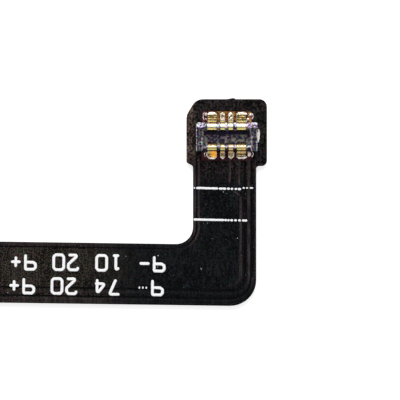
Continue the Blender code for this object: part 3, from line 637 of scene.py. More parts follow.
# Painted highlight, in millimetres: across the crests from the plug's middle line, and on the end blocks
# from the housing's end
CREST_HIGHLIGHTS = ((-0.60, BLACK), (-0.515, BLACK), (-0.505, WHITE), (-0.435, WHITE), (-0.42, BLACK),
               (0.455, BLACK), (0.475, WHITE), (0.72, WHITE))
BLOCK_HIGHLIGHTS = ((-0.31, BLACK), (-0.29, WHITE), (-0.27, WHITE), (-0.25, BLACK))
# Stretches over which the housing's tones change, in millimetres: from its end, across from its middle line,
# and up from its foot. The shares are how strong the painted highlight of the rim and of the end blocks is.
FROM_END = {"between blocks": (-0.24, -0.28), "rim": (-0.06, -0.02), "block": (-0.32, -0.26)}
FROM_MIDDLE = {"upper half": (0.0, 0.1), "lower half": (0.05, -0.05), "upper wall": (0.06, 0.16),
               "lower face": (-0.55, -0.6)}
FROM_FOOT = {"crest": (0.40, 0.48), "shade": (0.4, 0.25)}
RIM_HIGHLIGHT_SHARE = 0.7
BLOCK_HIGHLIGHT_SHARE = 0.5


def housing_finish(plug):
    """Mottled moulded resin with painted purple shade by its walls and painted pale highlights on crests and
    ends.
    """
    finish = Finish("housing_resin", specular=0.06)
    wires = finish.wires
    place = wires.split(finish.coords)
    half = (PLUG_HIGH.x - PLUG_LOW.x) / 2
    waver = wires.uneven(finish.coords, 14000.0, 0.06 * MM)
    away = wires.apart(place["X"], PLUG.x)
    uneven_away = wires.plus(away, waver)
    across = wires.plus(wires.minus(place["Y"], PLUG.y), waver)

    # Painted highlight: the crests, the rim at each end and the end blocks' edges are painted pale where the
    # light catches them.
    crest = wires.bands(across, [(reach * MM, shown) for reach, shown in CREST_HIGHLIGHTS])
    inner = wires.most(wires.fade(away, half, FROM_END["between blocks"]),
                       wires.fade(across, 0.0, FROM_MIDDLE["upper half"]))
    high = wires.fade(place["Z"], PLUG.z, FROM_FOOT["crest"])
    block_edge = wires.bands(uneven_away, [(half + reach * MM, shown) for reach, shown in BLOCK_HIGHLIGHTS])
    block_highlight = wires.times(block_edge, BLOCK_HIGHLIGHT_SHARE, wires.fade(across, 0.0, FROM_MIDDLE["lower half"]))
    rim = wires.times(wires.fade(uneven_away, half, FROM_END["rim"]), RIM_HIGHLIGHT_SHARE)
    highlight = wires.most(rim, block_highlight, wires.times(crest, inner, high))

    resin = finish.tone(shade_of(plug.resin_deep, 1.4), shade_of(plug.resin, 3.2), FINE, 0.3, 0.07)
    deep = finish.shades(plug.resin_deep, 0.4, 2.2, 6000.0, 0.8)
    ends = finish.tone(shade_of(plug.resin_deep, 0.4), shade_of(plug.resin_edge, 0.13), FINE, 0.6, 0.04)
    pale = finish.shades(plug.resin_edge, 0.1, 1.35, FINE, 0.5, 0.07)
    # Painted shade: deep purple in the slot under the upper wall, where that wall's shadow falls, and on the
    # lower wall's outer face, which faces away from the light.
    in_shade = wires.times(wires.fade(across, 0.0, FROM_MIDDLE["upper wall"]),
                           wires.fade(place["Z"], PLUG.z, FROM_FOOT["shade"]))
    outside = wires.fade(across, 0.0, FROM_MIDDLE["lower face"])
    body = wires.mix(wires.most(in_shade, outside), resin, deep)
    body = wires.mix(wires.fade(away, half, FROM_END["block"]), body, ends)
    finish.paint(finish.speckled(wires.mix(highlight, body, pale), 12000.0, 2.6))
    finish.gloss(0.16, 0.3, 2600.0).grain(16000.0, 0.006 * MM)


# Tints of the gold over the walls, painted highlights and shade: each is a colour of the plug and a share of
# it
FOLD_LIGHT_TINTS = {
    "dim reflection": ("gold", 0.5), "wetted_gold_and_highlight": ("wetted_gold_and_highlight", 1.0), "pale": ("wetted_gold_and_highlight", 0.5), "stain_and_shade": ("stain_and_shade", 1.0),
    "dull": ("stain_and_shade", 0.6), "dim": ("stain_and_shade", 0.4), "dark": ("stain_and_shade", 0.18), "score": ("score", 1.0),
}
# Where each tint lies, in millimetres from the plug's middle
FOLD_LIGHT_BANDS = (
    (-0.72, "stain_and_shade"), (-0.68, "score"), (-0.65, "score"), (-0.635, "dim reflection"), (-0.595, "dim reflection"),
    (-0.57, "dull"), (-0.54, "dim reflection"), (-0.50, "dim reflection"), (-0.485, "wetted_gold_and_highlight"), (-0.455, "wetted_gold_and_highlight"),
    (-0.435, "score"), (-0.40, "dark"), (-0.35, "dark"), (-0.335, "dim"), (-0.30, "dim"), (-0.28, "score"),
    (0.30, "score"), (0.335, "score"), (0.35, "dim reflection"), (0.41, "dim reflection"), (0.425, "score"),
    (0.45, "score"), (0.48, "wetted_gold_and_highlight"), (0.53, "pale"), (0.60, "pale"), (0.62, "dark"), (0.66, "score"),
    (0.70, "score"), (0.72, "dull"), (0.765, "dull"), (0.78, "dark"),
)
# Where heat has turned a foot orange: the middle, in millimetres from the plug's middle, and the radius
HEATED_PLACE = Vector((-0.60, -0.84, 0.06))
HEATED_RADIUS = 0.24 * MM
# Wide contacts lie past this distance from the plug's middle. The other two are stretches in millimetres, over
# which the finish of a foot starts at the housing's wall and the finish of a wetted toe starts.
WIDE_FROM = 0.4 * MM
FOOT_FROM = (0.09, 0.11)
TOE_FROM = (0.0, 0.02)


def gold_finish(plug):
    """Plated gold: painted highlight and shade on the folds, stained and scored feet, painted lighter on the
    upper row, one orange.
    """
    finish = Finish("plated_gold", metallic=1.0)
    wires = finish.wires
    place = wires.split(finish.coords)
    across = wires.plus(wires.minus(place["Y"], PLUG.y), wires.uneven(finish.coords, 12000.0, 0.03 * MM))
    out = wires.minus(wires.math("ABSOLUTE", across), plug.width / 2)
    wide = wires.math("GREATER_THAN", wires.apart(place["X"], PLUG.x), WIDE_FROM)
    upper = wires.math("GREATER_THAN", across, 0.0)

    tints = {name: shade_of(getattr(plug, base), share) for name, (base, share) in FOLD_LIGHT_TINTS.items()}
    # Painted highlight and shade across the folds: cream where the light glints on a crest, darker bands where
    # the gold turns away from it or would reflect too brightly.
    fold = wires.bands(across, [(reach * MM, tints[name]) for reach, name in FOLD_LIGHT_BANDS])
    # Painted shade in the scores across the wide feet.
    phase = wires.times(wires.minus(out, SCORE_START), math.tau / SCORE_PITCH)
    scores = wires.ease(wires.math("COSINE", phase), -0.4, 0.1)
    # Painted light and shade: the upper feet face the light and are painted lighter, the lower ones darker.
    bright = finish.tone(shade_of(plug.stain_and_shade, 0.3), shade_of(plug.gold, 0.75), FINE, 0.7, 0.1)
    dull = finish.shades(plug.stain_and_shade, 0.3, 1.3, FINE, 0.7, 0.08)
    wide_foot = wires.mix(scores, wires.mix(upper, dull, bright), rgba(shade_of(plug.score, 0.5)))
    shaded_lower_foot = finish.tone(shade_of(plug.solder_stain, 0.1), shade_of(plug.stain_and_shade, 0.9), FINE, 0.6, 0.08)
    lit_upper_foot = finish.tone(shade_of(plug.stain_and_shade, 0.2), shade_of(plug.wetted_gold_and_highlight, 0.92), FINE, 0.6, 0.07)
    foot = wires.mix(wide, wires.mix(upper, shaded_lower_foot, lit_upper_foot), wide_foot)
    painted = wires.mix(wires.fade(out, 0.0, FOOT_FROM), fold, foot)

    wetted = wires.math("MULTIPLY_ADD", upper, plug.upper_toe - plug.lower_toe - TOE_WETTING / 2,
                        plug.lower_toe - TOE_WETTING)
    toe = wires.fade(wires.minus(out, wetted), 0.0, TOE_FROM)
    painted = wires.mix(toe, painted, finish.shades(plug.wetted_gold_and_highlight, 0.45, 1.0, FINE, 0.4, 0.1))
    spot = wires.times(finish.spot(PLUG + HEATED_PLACE * MM, HEATED_RADIUS), 0.9)
    painted = wires.mix(spot, painted, finish.shades(plug.heat, 0.75, 1.0, 6000.0, 0.8))
    finish.paint(finish.speckled(painted, 15000.0, 1.4))
    finish.gloss(0.14, 0.28, 3200.0).grain(20000.0, 0.004 * MM)


def solder_finish(plug):
    """Bright solder with flux stains."""
    finish = Finish("solder", metallic=0.6)
    stained = finish.tone(shade_of(plug.solder_stain, 0.75), shade_of(plug.solder, 1.1), 7000.0, 0.8, 0.1)
    finish.paint(finish.speckled(stained, 15000.0, 1.4))
    finish.gloss(0.2, 0.4, 6000.0).grain(15000.0, 0.01 * MM)


# Finishes with one base colour: the settings that hold it and its name there, its shares in dark and in light
# patches, the patches' scale and speckle, the smoothest and the roughest gloss, and what else differs. A
# grain is its scale, its depth and how it is drawn out.
ROLLED_METAL = {"metallic": 1.0, "grain": (9000.0, 0.003 * MM, (0.06, 1.0, 1.0))}
PLAIN_FINISHES = {
    "groove_film": ("lead_settings", "groove", (0.6, 1.6), (1600.0, 0.5), (0.3, 0.5), {"specular": 0.02}),
    "white_ink": ("lead_settings", "ink", (0.93, 1.0), (3000.0, 0.6), (0.55, 0.75),
                  {"grain": (22000.0, 0.004 * MM)}),
    "dust_speck": ("lead_settings", "dust", (0.8, 1.05), (9000.0, 0.5), (0.7, 0.9),
                   {"grain": (60000.0, 0.004 * MM)}),
    # Pale resin of the mould marks: a painted highlight.
    "burnished_resin": ("plug_settings", "resin_edge", (0.2, 0.7), (5200.0, 1.0), (0.3, 0.45),
                        {"specular": 0.3}),
    "sleeve_film": ("pack_settings", "film", (0.9, 1.12), (90.0, 0.5), (0.38, 0.43),
                    {"specular": 0.2, "grain": (5200.0, 0.012 * MM)}),
    "pouch_foil": ("pack_settings", "foil", (0.86, 1.04), (220.0, 0.2), (0.44, 0.56),
                   {"metallic": 1.0, "grain": (900.0, 0.03 * MM)}),
    "board_mask": ("pack_settings", "mask", (0.8, 1.15), (1500.0, 0.3), (0.26, 0.36),
                   {"grain": (6000.0, 0.004 * MM)}),
    "masked_track": ("pack_settings", "track", (0.85, 1.1), (1500.0, 0.3), (0.26, 0.36),
                     {"grain": (6000.0, 0.003 * MM)}),
    "tab_aluminium": ("pack_settings", "aluminium", (0.88, 1.02), (1200.0, 0.3), (0.26, 0.4), ROLLED_METAL),
    "tab_nickel": ("pack_settings", "nickel", (0.85, 1.02), (1200.0, 0.3), (0.24, 0.38), ROLLED_METAL),
    "tab_seal": ("pack_settings", "seal", (0.9, 1.0), (1500.0, 0.2), (0.45, 0.6), {}),
    "insulator_paper": ("pack_settings", "paper", (0.86, 1.06), (2500.0, 0.8), (0.75, 0.9),
                        {"grain": (14000.0, 0.008 * MM, (1.0, 0.25, 1.0))}),
    "stiffener": ("pack_settings", "stiffener", (0.7, 1.15), (1800.0, 0.5), (0.4, 0.55),
                  {"grain": (9000.0, 0.006 * MM, (1.0, 0.1, 1.0))}),
}


def plain_finish(name, base, shares, patches, gloss, metallic=0.0, specular=0.5, grain=(9000.0, 0.002 * MM)):
    """One base colour with patches, speckle, changing gloss and a fine grain."""
    finish = Finish(name, metallic, specular)
    finish.paint(finish.shades(base, *shares, *patches))
    return finish.gloss(*gloss, patches[0]).grain(*grain)


def tape_finish(pack):
    """Amber film with a smooth coat, which lets some of what is under it through."""
    finish = plain_finish("amber_tape", pack.tape, (0.94, 1.06), (260.0, 0.1), (0.14, 0.18), specular=0.35,
                          grain=(700.0, 0.003 * MM))
    finish.shader.inputs["Alpha"].default_value = pack.tape_cover
    finish.shader.inputs["Coat Weight"].default_value = 0.25
    finish.shader.inputs["Coat Roughness"].default_value = 0.06


# Parts on the board: the colours of a part's body and of its ends or leads, and half the length of its body
BOARD_PARTS = {
    "protection_chip": ("resin", "nickel", 0.8 * MM),
    "switch_transistor": ("resin", "nickel", 1.0 * MM),
    "thermal_cutoff": ("resin", "nickel", 1.0 * MM),
    "sense_resistor": ("resin", "aluminium", 0.52 * MM),
    "supply_resistor": ("resin", "aluminium", 0.416 * MM),
    "id_resistor": ("resin", "aluminium", 0.416 * MM),
    "filter_capacitor": ("ceramic", "aluminium", 0.416 * MM),
    "thermistor": ("ceramic", "aluminium", 0.416 * MM),
}


def plated_part_finish(name, body, metal, half_length):
    """A part on the board, with its plated ends or its leads past half_length from the board's middle."""
    finish = Finish(name)
    mask = finish.shared("plated_ends", {"Middle": BOARD_MIDDLE.x, "Half Length": half_length})
    resin = finish.shades(body, 0.75, 1.25, 2500.0, 0.6)
    plating = finish.shades(metal, 0.8, 1.1, 4000.0, 0.4)
    finish.paint(finish.wires.mix(mask, resin, plating))
    finish.wires.feed(finish.shader.inputs["Metallic"], mask)
    finish.gloss(0.28, 0.5, 2500.0).grain(16000.0, 0.003 * MM)


class BATTERY_OT_materials(bpy.types.Operator):
    """Materials and node trees of every piece, from the colours in the settings"""

    bl_idname = "battery.materials"
    bl_label = "Materials"

    def execute(self, context):
        scene = context.scene
        lead, plug, pack = scene.lead_settings, scene.plug_settings, scene.pack_settings
        for build in (patchy_tone, handled_gloss, fine_grain, plated_ends, drawn_streaks, tinted_speckle,
                      soft_spot, path_sweep, point_scatter):
            GROUPS[build.__name__] = build()
        film_finish(lead)
        ridge_finish(lead)
        opening_finish("bare_copper", lead.copper, lead.flux, metallic=0.6)
        opening_finish("fluxed_copper", lead.flux, lead.flux, metallic=0.0)
        housing_finish(plug)
        gold_finish(plug)
        solder_finish(plug)
        tape_finish(pack)
        for name, (settings, base, *looks, others) in PLAIN_FINISHES.items():
            plain_finish(name, getattr(getattr(scene, settings), base), *looks, **others)
        for part, (body, ends, half_length) in BOARD_PARTS.items():
            plated_part_finish(part + "_finish", getattr(pack, body), getattr(pack, ends), half_length)
        return {"FINISHED"}


def new_piece(name, mesh, finish, replaces=()):
    """A shown piece, which rides on the body. It may have a material slot and may stand for CAD nodes."""
    mesh.materials.clear()
    mesh.materials.append(FINISHES[finish])
    piece = bpy.data.objects.new(name, mesh)
    bpy.context.scene.collection.objects.link(piece)
    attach(piece, BODY)
    if replaces:
        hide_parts(*replaces)
    return piece


def helper(name, mesh):
    """An object that is used for a cut or a join and is then removed."""
    obj = bpy.data.objects.new(name, mesh)
    bpy.context.scene.collection.objects.link(obj)
    return obj


def settled_mesh(obj):
    """The object's mesh with its modifiers applied; the object is removed."""
    depsgraph = bpy.context.evaluated_depsgraph_get()
    mesh = bpy.data.meshes.new_from_object(obj.evaluated_get(depsgraph))
    if not mesh.polygons:
        raise RuntimeError(f"{obj.name} came out empty")
    bpy.data.objects.remove(obj)
    return mesh


def formed_mesh(obj):
    """As settled_mesh, with the edges of a formed piece kept sharp."""
    mesh = settled_mesh(obj)
    mesh.set_sharp_from_angle(angle=SHARP_FORMED)
    return mesh


def plain_mesh(shape, name):
    mesh = bpy.data.meshes.new(name)
    shape.to_mesh(mesh)
    shape.free()
    return mesh


def mesh_from(shape, name):
    """A mesh from a bmesh, smooth but for its sharp edges."""
    mesh = plain_mesh(shape, name)
    mesh.shade_smooth()
    mesh.set_sharp_from_angle(angle=SHARP)
    return mesh


def cleaned(mesh, merge=MERGE, flat=1.0):
    """A bmesh of a mesh with its loose triangles joined and its faces made whole where they are flat."""
    shape = bmesh.new()
    shape.from_mesh(mesh)
    bmesh.ops.remove_doubles(shape, verts=shape.verts, dist=merge)
    bmesh.ops.dissolve_limit(shape, angle_limit=math.radians(flat), verts=shape.verts, edges=shape.edges)
    return shape


def node_copy(node, flat=1.0):
    return mesh_from(cleaned(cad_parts[node].data, flat=flat), node)


def extruded(ring, offset):
    """A closed shape: the face inside a ring of points, its copy at the offset and the sides between them."""
    shape = bmesh.new()
    face = shape.faces.new([shape.verts.new(point) for point in ring])
    moved = bmesh.ops.extrude_face_region(shape, geom=[face])
    far = [item for item in moved["geom"] if isinstance(item, bmesh.types.BMVert)]
    bmesh.ops.translate(shape, verts=far, vec=offset)
    bmesh.ops.recalc_face_normals(shape, faces=shape.faces)
    return shape


def add_bevel(obj, width, segments=2, angle=50.0):
    bevel = obj.modifiers.new("rounded_edges", "BEVEL")
    bevel.width = width
    bevel.segments = segments
    bevel.limit_method = "ANGLE"
    bevel.angle_limit = math.radians(angle)


def join_or_cut(obj, other, operation):
    change = obj.modifiers.new(operation.lower(), "BOOLEAN")
    change.operation = operation
    change.solver = "EXACT"
    change.object = other


def rounded(corners, closed=False, step=math.radians(8)):
    """Points along a path with each corner (x, y, radius) rounded by an arc."""
    points = []
    last = len(corners) - 1
    for index, (x, y, radius) in enumerate(corners):
        corner = Vector((x, y))
        if radius == 0 or (not closed and index in (0, last)):
            points.append(corner)
            continue
        before = (Vector(corners[index - 1][:2]) - corner).normalized()
        after = (Vector(corners[(index + 1) % (last + 1)][:2]) - corner).normalized()
        half_angle = before.angle(after) / 2
        centre = corner + (before + after).normalized() * radius / math.sin(half_angle)
        start = corner + before * radius / math.tan(half_angle) - centre
        end = corner + after * radius / math.tan(half_angle) - centre
        first_angle = math.atan2(start.y, start.x)
        sweep = math.atan2(start.cross(end), start.dot(end))
        count = max(1, math.ceil(abs(sweep) / step))
        for position in range(count + 1):
            angle = first_angle + sweep * position / count
            points.append(centre + radius * Vector((math.cos(angle), math.sin(angle))))
    return points


def run_edge(x, width=0.0):
    """The run's lower edge at x, or a line that runs at a width above it."""
    return CORNER.y + (CORNER.x - x) * math.tan(RUN_TILT) + width / math.cos(RUN_TILT)


def smooth_step(value):
    """0 below 0 and 1 above 1, with a smooth step between them."""
    share = min(max(value, 0.0), 1.0)
    return share * share * (3 - 2 * share)


def lead_top(x):
    """Height of the lead's upper face, which comes down from the board to the plug."""
    share = smooth_step((DROP_START + DROP_LENGTH - x) / DROP_LENGTH)
    return LEAD_TOP + (LEAD_HIGH_CORNER.z - LEAD_TOP) * share


def sized_mesh(name, places, edges, sizes):
    """A carrier of points and edges, with a size on each point."""
    mesh = bpy.data.meshes.new(name)
    mesh.from_pydata(places, edges, [])
    mesh.attributes.new("size", "FLOAT", "POINT").data.foreach_set("value", sizes)
    return mesh


def path_mesh(name, paths, lift=0.0):
    """Carrier for the sweep: each path is (points, size), and points of two values lie on the lead."""
    places, edges, sizes = [], [], []
    for points, size in paths:
        first = len(places)
        places += [point if len(point) == 3 else (*point, lead_top(point[0]) + lift) for point in points]
        edges += [(index, index + 1) for index in range(first, len(places) - 1)]
        sizes += [size] * len(points)
    return sized_mesh(name, places, edges, sizes)


def path_sweep():
    """Geometry nodes: a low rounded bead along each path, with rounded ends."""
    wires, given, result = new_group("path_sweep", "GeometryNodeTree", (
        ("Geometry", GEOMETRY, None),
        ("Width", FLOAT, 0.1 * MM),
        ("Height", FLOAT, 0.01 * MM),
        ("Corner Radius", FLOAT, 0.0),
        ("Step", FLOAT, 0.02 * MM),
        ("Sides", INTEGER, 10),
        ("Wobble", FLOAT, 0.0),
        ("Material", MATERIAL, None),
    ), "Geometry", GEOMETRY)
    curve = wires.node("GeometryNodeMeshToCurve", {"Mesh": given["Geometry"]}).outputs["Curve"]
    inputs = {"Curve": curve, "Count": 4, "Radius": given["Corner Radius"], "Limit Radius": True}
    fillet = wires.node("GeometryNodeFilletCurve", inputs, mode="POLY").outputs["Curve"]
    inputs = {"Curve": fillet, "Length": given["Step"]}
    points = wires.node("GeometryNodeResampleCurve", inputs, mode="LENGTH").outputs["Curve"]
    upright = wires.node("GeometryNodeSetCurveNormal", {"Curve": points}, mode="Z_UP").outputs["Curve"]
    size = own_size(wires)
    along = wires.node("GeometryNodeSplineParameter").outputs["Length"]
    whole = wires.node("GeometryNodeSplineLength").outputs["Length"]
    to_end = wires.math("MINIMUM", along, wires.minus(whole, along))
    end_radius = wires.times(given["Width"], 0.5, size)
    inward = wires.minus(1.0, wires.most(wires.math("DIVIDE", to_end, end_radius, clamp=True), 0.03))
    taper = wires.math("SQRT", wires.minus(1.0, wires.times(inward, inward)))
    circle = wires.node("GeometryNodeCurvePrimitiveCircle", {"Resolution": given["Sides"], "Radius": 0.5})
    section = wires.combine(X=given["Width"], Y=given["Height"], Z=1.0)
    inputs = {"Geometry": circle.outputs["Curve"], "Scale": section}
    profile = wires.node("GeometryNodeTransform", inputs).outputs["Geometry"]
    thickness = wires.times(taper, size)
    inputs = {"Curve": upright, "Profile Curve": profile, "Scale": thickness, "Fill Caps": True}
    sweep = wires.node("GeometryNodeCurveToMesh", inputs).outputs["Mesh"]
    place = wires.node("GeometryNodeInputPosition").outputs["Position"]
    waver = wires.noise(place, 9000.0, detail=1.0, output="Color")
    offset = wires.vector("SCALE", wires.vector("SUBTRACT", waver, (0.5, 0.5, 0.5)), given["Wobble"])
    ragged = wires.node("GeometryNodeSetPosition", {"Geometry": sweep, "Offset": offset}).outputs["Geometry"]
    finish_geometry(wires, given, result, ragged)
    return wires.tree


def point_scatter():
    """Geometry nodes: a small rounded grain on each point, turned and sized at random."""
    wires, given, result = new_group("point_scatter", "GeometryNodeTree", (
        ("Geometry", GEOMETRY, None),
        ("Size", FLOAT, 0.03 * MM),
        ("Flatness", FLOAT, 0.4),
        ("Variation", FLOAT, 0.5),
        ("Seed", INTEGER, 7),
        ("Segments", INTEGER, 10),
        ("Material", MATERIAL, None),
    ), "Geometry", GEOMETRY)
    inputs = {"Segments": given["Segments"], "Rings": wires.times(given["Segments"], 0.6), "Radius": 0.5}
    ball = wires.node("GeometryNodeMeshUVSphere", inputs).outputs["Mesh"]
    low = wires.minus(1.0, given["Variation"])
    high = wires.plus(1.0, given["Variation"])
    size = wires.times(given["Size"], own_size(wires), drawn_value(wires, low, high, given["Seed"]))
    scale = wires.combine(X=size, Y=wires.times(size, drawn_value(wires, low, 1.0, 3)),
                          Z=wires.times(size, given["Flatness"]))
    turn = wires.combine(Z=drawn_value(wires, 0.0, math.tau, 5))
    inputs = {"Points": given["Geometry"], "Instance": ball, "Rotation": turn, "Scale": scale}
    placed = wires.node("GeometryNodeInstanceOnPoints", inputs).outputs["Instances"]
    finish_geometry(wires, given, result, placed)
    return wires.tree


def own_size(wires):
    """The size that the carrier gives each of its points."""
    attribute = wires.node("GeometryNodeInputNamedAttribute", {"Name": "size"}, data_type="FLOAT")
    return attribute.outputs["Attribute"]


def drawn_value(wires, low, high, seed):
    """A value drawn for each point, with a fixed seed."""
    inputs = {2: low, 3: high, "Seed": seed}
    return wires.node("FunctionNodeRandomValue", inputs, data_type="FLOAT").outputs[1]


def finish_geometry(wires, given, result, geometry):
    """The end of every tree: real geometry, smooth shading and the material."""
    real = wires.node("GeometryNodeRealizeInstances", {"Geometry": geometry}).outputs["Geometry"]
    smooth = wires.node("GeometryNodeSetShadeSmooth", {"Geometry": real}).outputs["Geometry"]
    last = wires.node("GeometryNodeSetMaterial", {"Geometry": smooth, "Material": given["Material"]})
    wires.feed(result, last.outputs["Geometry"])


def grown_piece(name, tree, carrier, finish, inputs, replaces=()):
    """A piece that a geometry-nodes tree grows on a carrier mesh, made a plain mesh."""
    obj = helper(name + "_carrier", carrier)
    modifier = obj.modifiers.new("grow", "NODES")
    modifier.node_group = GROUPS[tree]
    values = dict(inputs, Material=FINISHES[finish])
    for item in GROUPS[tree].interface.items_tree:
        if item.in_out == "INPUT" and item.name in values:
            modifier[item.identifier] = values[item.name]
    return new_piece(name, settled_mesh(obj), finish, replaces)


class BATTERY_OT_lead_film(bpy.types.Operator):
    """Black film of the lead with a rounded cut edge"""

    bl_idname = "battery.lead_film"
    bl_label = "Lead film"

    def execute(self, context):
        settings = context.scene.lead_settings
        obj = helper("lead_film_source", node_copy("flex_lead", flat=0.2))
        add_bevel(obj, settings.rim, segments=3, angle=60.0)
        new_piece("lead_film", formed_mesh(obj), "black_film", ["flex_lead"])
        return {"FINISHED"}


def outer_lane(leg_inset, run_inset, bend, top, left):
    """A path down the leg and round the bend, at a distance from the lead's right and lower edges."""
    return lane(CORNER.x - leg_inset, run_inset, bend, top, left)


def inner_lane(leg_inset, run_inset, bend, top, left):
    """A path down the leg and round the bend, at a distance from the lead's left and upper edges."""
    return lane(LEG_LEFT + leg_inset, RUN_WIDTH - run_inset, bend, top, left)


def lane(x, width, bend, top, left):
    return split_drop(rounded([(x, top, 0), (x, run_edge(x, width), bend), (left, run_edge(left, width), 0)]))


def split_drop(points):
    """The last stretch of a path is split where the lead comes down, so that the path follows it."""
    last, end = points[-2], points[-1]
    if end.x > DROP_START + DROP_LENGTH:
        return points
    stretch = [DROP_START + DROP_LENGTH * (1 - step / DROP_POINTS) for step in range(DROP_POINTS + 1)]
    slope = (end.y - last.y) / (end.x - last.x)
    return points[:-1] + [Vector((x, last.y + slope * (x - last.x))) for x in stretch if x > end.x] + [end]


# Step of a track's sweep, and the upper and left ends of the long tracks
TRACK_STEP = 0.06 * MM
TRACK_TOP = NECK_Y + 0.35 * MM
TRACK_LEFT = PACK_END + 0.3 * MM
# Ridges, and dark sweeps that paint the shade of the grooves, that go round the bend: the lane that each
# follows, its insets on the leg and on the run and the bend's radius in millimetres, and then its upper end,
# its left end and its size
RIDGES = (
    (outer_lane, 0.365, 0.56, 0.80, TRACK_TOP, TRACK_LEFT, 1.25),
    (outer_lane, 0.76, 0.94, 0.55, NECK_Y - 1.48 * MM, CORNER.x - 1.15 * MM, 1.2),
    (outer_lane, 0.05, 0.07, 1.27, TRACK_TOP, TRACK_LEFT, 0.5),
    (outer_lane, 0.16, 0.20, 1.1, CORNER.y + 1.4 * MM, TRACK_LEFT, 1.3),
    (inner_lane, 0.28, 0.30, 1.1, TRACK_TOP, LEG_LEFT - 0.9 * MM, 1.0),
    (inner_lane, 0.09, 0.10, 0.9, TRACK_TOP, TRACK_LEFT, 0.8),
)
SHADED_GROOVES = (
    (outer_lane, 0.56, 0.76, 0.65, TRACK_TOP, TRACK_LEFT, 1.0),
    (outer_lane, 0.22, 0.36, 1.0, TRACK_TOP, TRACK_LEFT, 0.9),
    (inner_lane, 0.19, 0.24, 1.0, TRACK_TOP, TRACK_LEFT, 0.8),
)
# Short straight ridges, in millimetres left of the leg's right edge and below the neck, each with its size
SHORT_RIDGES = (
    (((1.29, -0.35), (1.29, 0.85)), 1.2),
    (((0.82, -0.35), (0.84, 0.95)), 1.1),
    (((1.10, 1.25), (0.77, 1.47)), 0.9),
)


def lane_paths(lanes):
    return [(follow(leg_inset * MM, run_inset * MM, bend * MM, top, left), size)
            for follow, leg_inset, run_inset, bend, top, left, size in lanes]


class BATTERY_OT_lead_tracks(bpy.types.Operator):
    """Ridges where copper tracks lift the film, partly a painted highlight, and painted shade in the grooves
    between them
    """

    bl_idname = "battery.lead_tracks"
    bl_label = "Lead tracks"

    def execute(self, context):
        settings = context.scene.lead_settings
        short = [([Vector((CORNER.x - left * MM, NECK_Y - down * MM)) for left, down in points], size)
                 for points, size in SHORT_RIDGES]
        carrier = path_mesh("ridge_paths", lane_paths(RIDGES) + short)
        shape = {"Width": settings.ridge_width, "Height": 2 * settings.ridge_height, "Step": TRACK_STEP}
        grown_piece("track_ridges", "path_sweep", carrier, "lifted_film", shape)
        carrier = path_mesh("groove_paths", lane_paths(SHADED_GROOVES))
        shape = {"Width": settings.groove_width, "Height": settings.groove_height, "Step": TRACK_STEP}
        grown_piece("track_grooves", "path_sweep", carrier, "groove_film", shape)
        return {"FINISHED"}


# Strokes of the printed marks, in shares of a digit's width and height, with the origin at its middle
STROKES = {
    "0": [[(0.0, 0.5), (0.32, 0.5), (0.5, 0.36), (0.5, -0.36), (0.32, -0.5), (-0.32, -0.5), (-0.5, -0.36),
           (-0.5, 0.36), (-0.32, 0.5), (0.1, 0.5)]],
    "1": [[(-0.28, 0.3), (0.05, 0.5), (0.05, -0.5)], [(-0.28, -0.5), (0.36, -0.5)]],
    "2": [[(-0.5, 0.3), (-0.36, 0.5), (0.34, 0.5), (0.5, 0.36), (0.5, 0.12), (-0.46, -0.5), (0.5, -0.5)]],
    "4": [[(0.28, -0.5), (0.28, 0.5), (-0.5, -0.2), (0.5, -0.2)]],
    "7": [[(-0.5, 0.5), (0.5, 0.5), (-0.12, -0.5)]],
    "9": [[(0.5, 0.02), (-0.26, 0.02), (-0.5, 0.14), (-0.5, 0.38), (-0.32, 0.5), (0.5, 0.5), (0.5, -0.5)]],
    "+": [[(-0.48, 0.0), (0.48, 0.0)], [(0.0, -0.36), (0.0, 0.36)]],
    "-": [[(-0.5, 0.0), (0.5, 0.0)]],
    "dots": [[(-0.42, 0.03), (-0.26, 0.03)], [(-0.08, 0.03), (0.08, 0.03)], [(0.26, 0.03), (0.42, 0.03)]],
}
MARK_ROWS = (
    (1.99 * MM, -0.035 * MM, (("9", "-"), ("1", "0"), ("2", "0"), ("9", "+"))),
    (0.832 * MM, 0.05 * MM, (("9", "dots"), ("7", "4"), ("2", "0"), ("9", "+"))),
)


# Fold lines: height, slope, size, and both ends of each dash in millimetres from the leg's left edge
FOLD_DASHES = (
    (NECK_Y - 1.08 * MM, 0.026, 0.78, ((0.15, 0.9), (0.86, 1.22), (1.25, 1.44), (1.42, 1.62), (1.65, 1.80),
                                       (1.83, 1.96), (2.02, 2.15), (2.18, 2.34))),
    (NECK_Y - 1.085 * MM, 0.0, 0.55, ((0.02, 0.11), (2.41, 2.53), (2.58, 2.68), (2.76, 2.93))),
    (NECK_Y - 2.62 * MM, 0.02, 0.78, ((0.02, 1.15), (1.1, 1.34), (1.3, 1.52), (1.52, 1.66), (1.67, 1.79),
                                      (1.81, 1.95), (2.0, 2.14), (2.19, 2.33), (2.38, 2.64))),
)


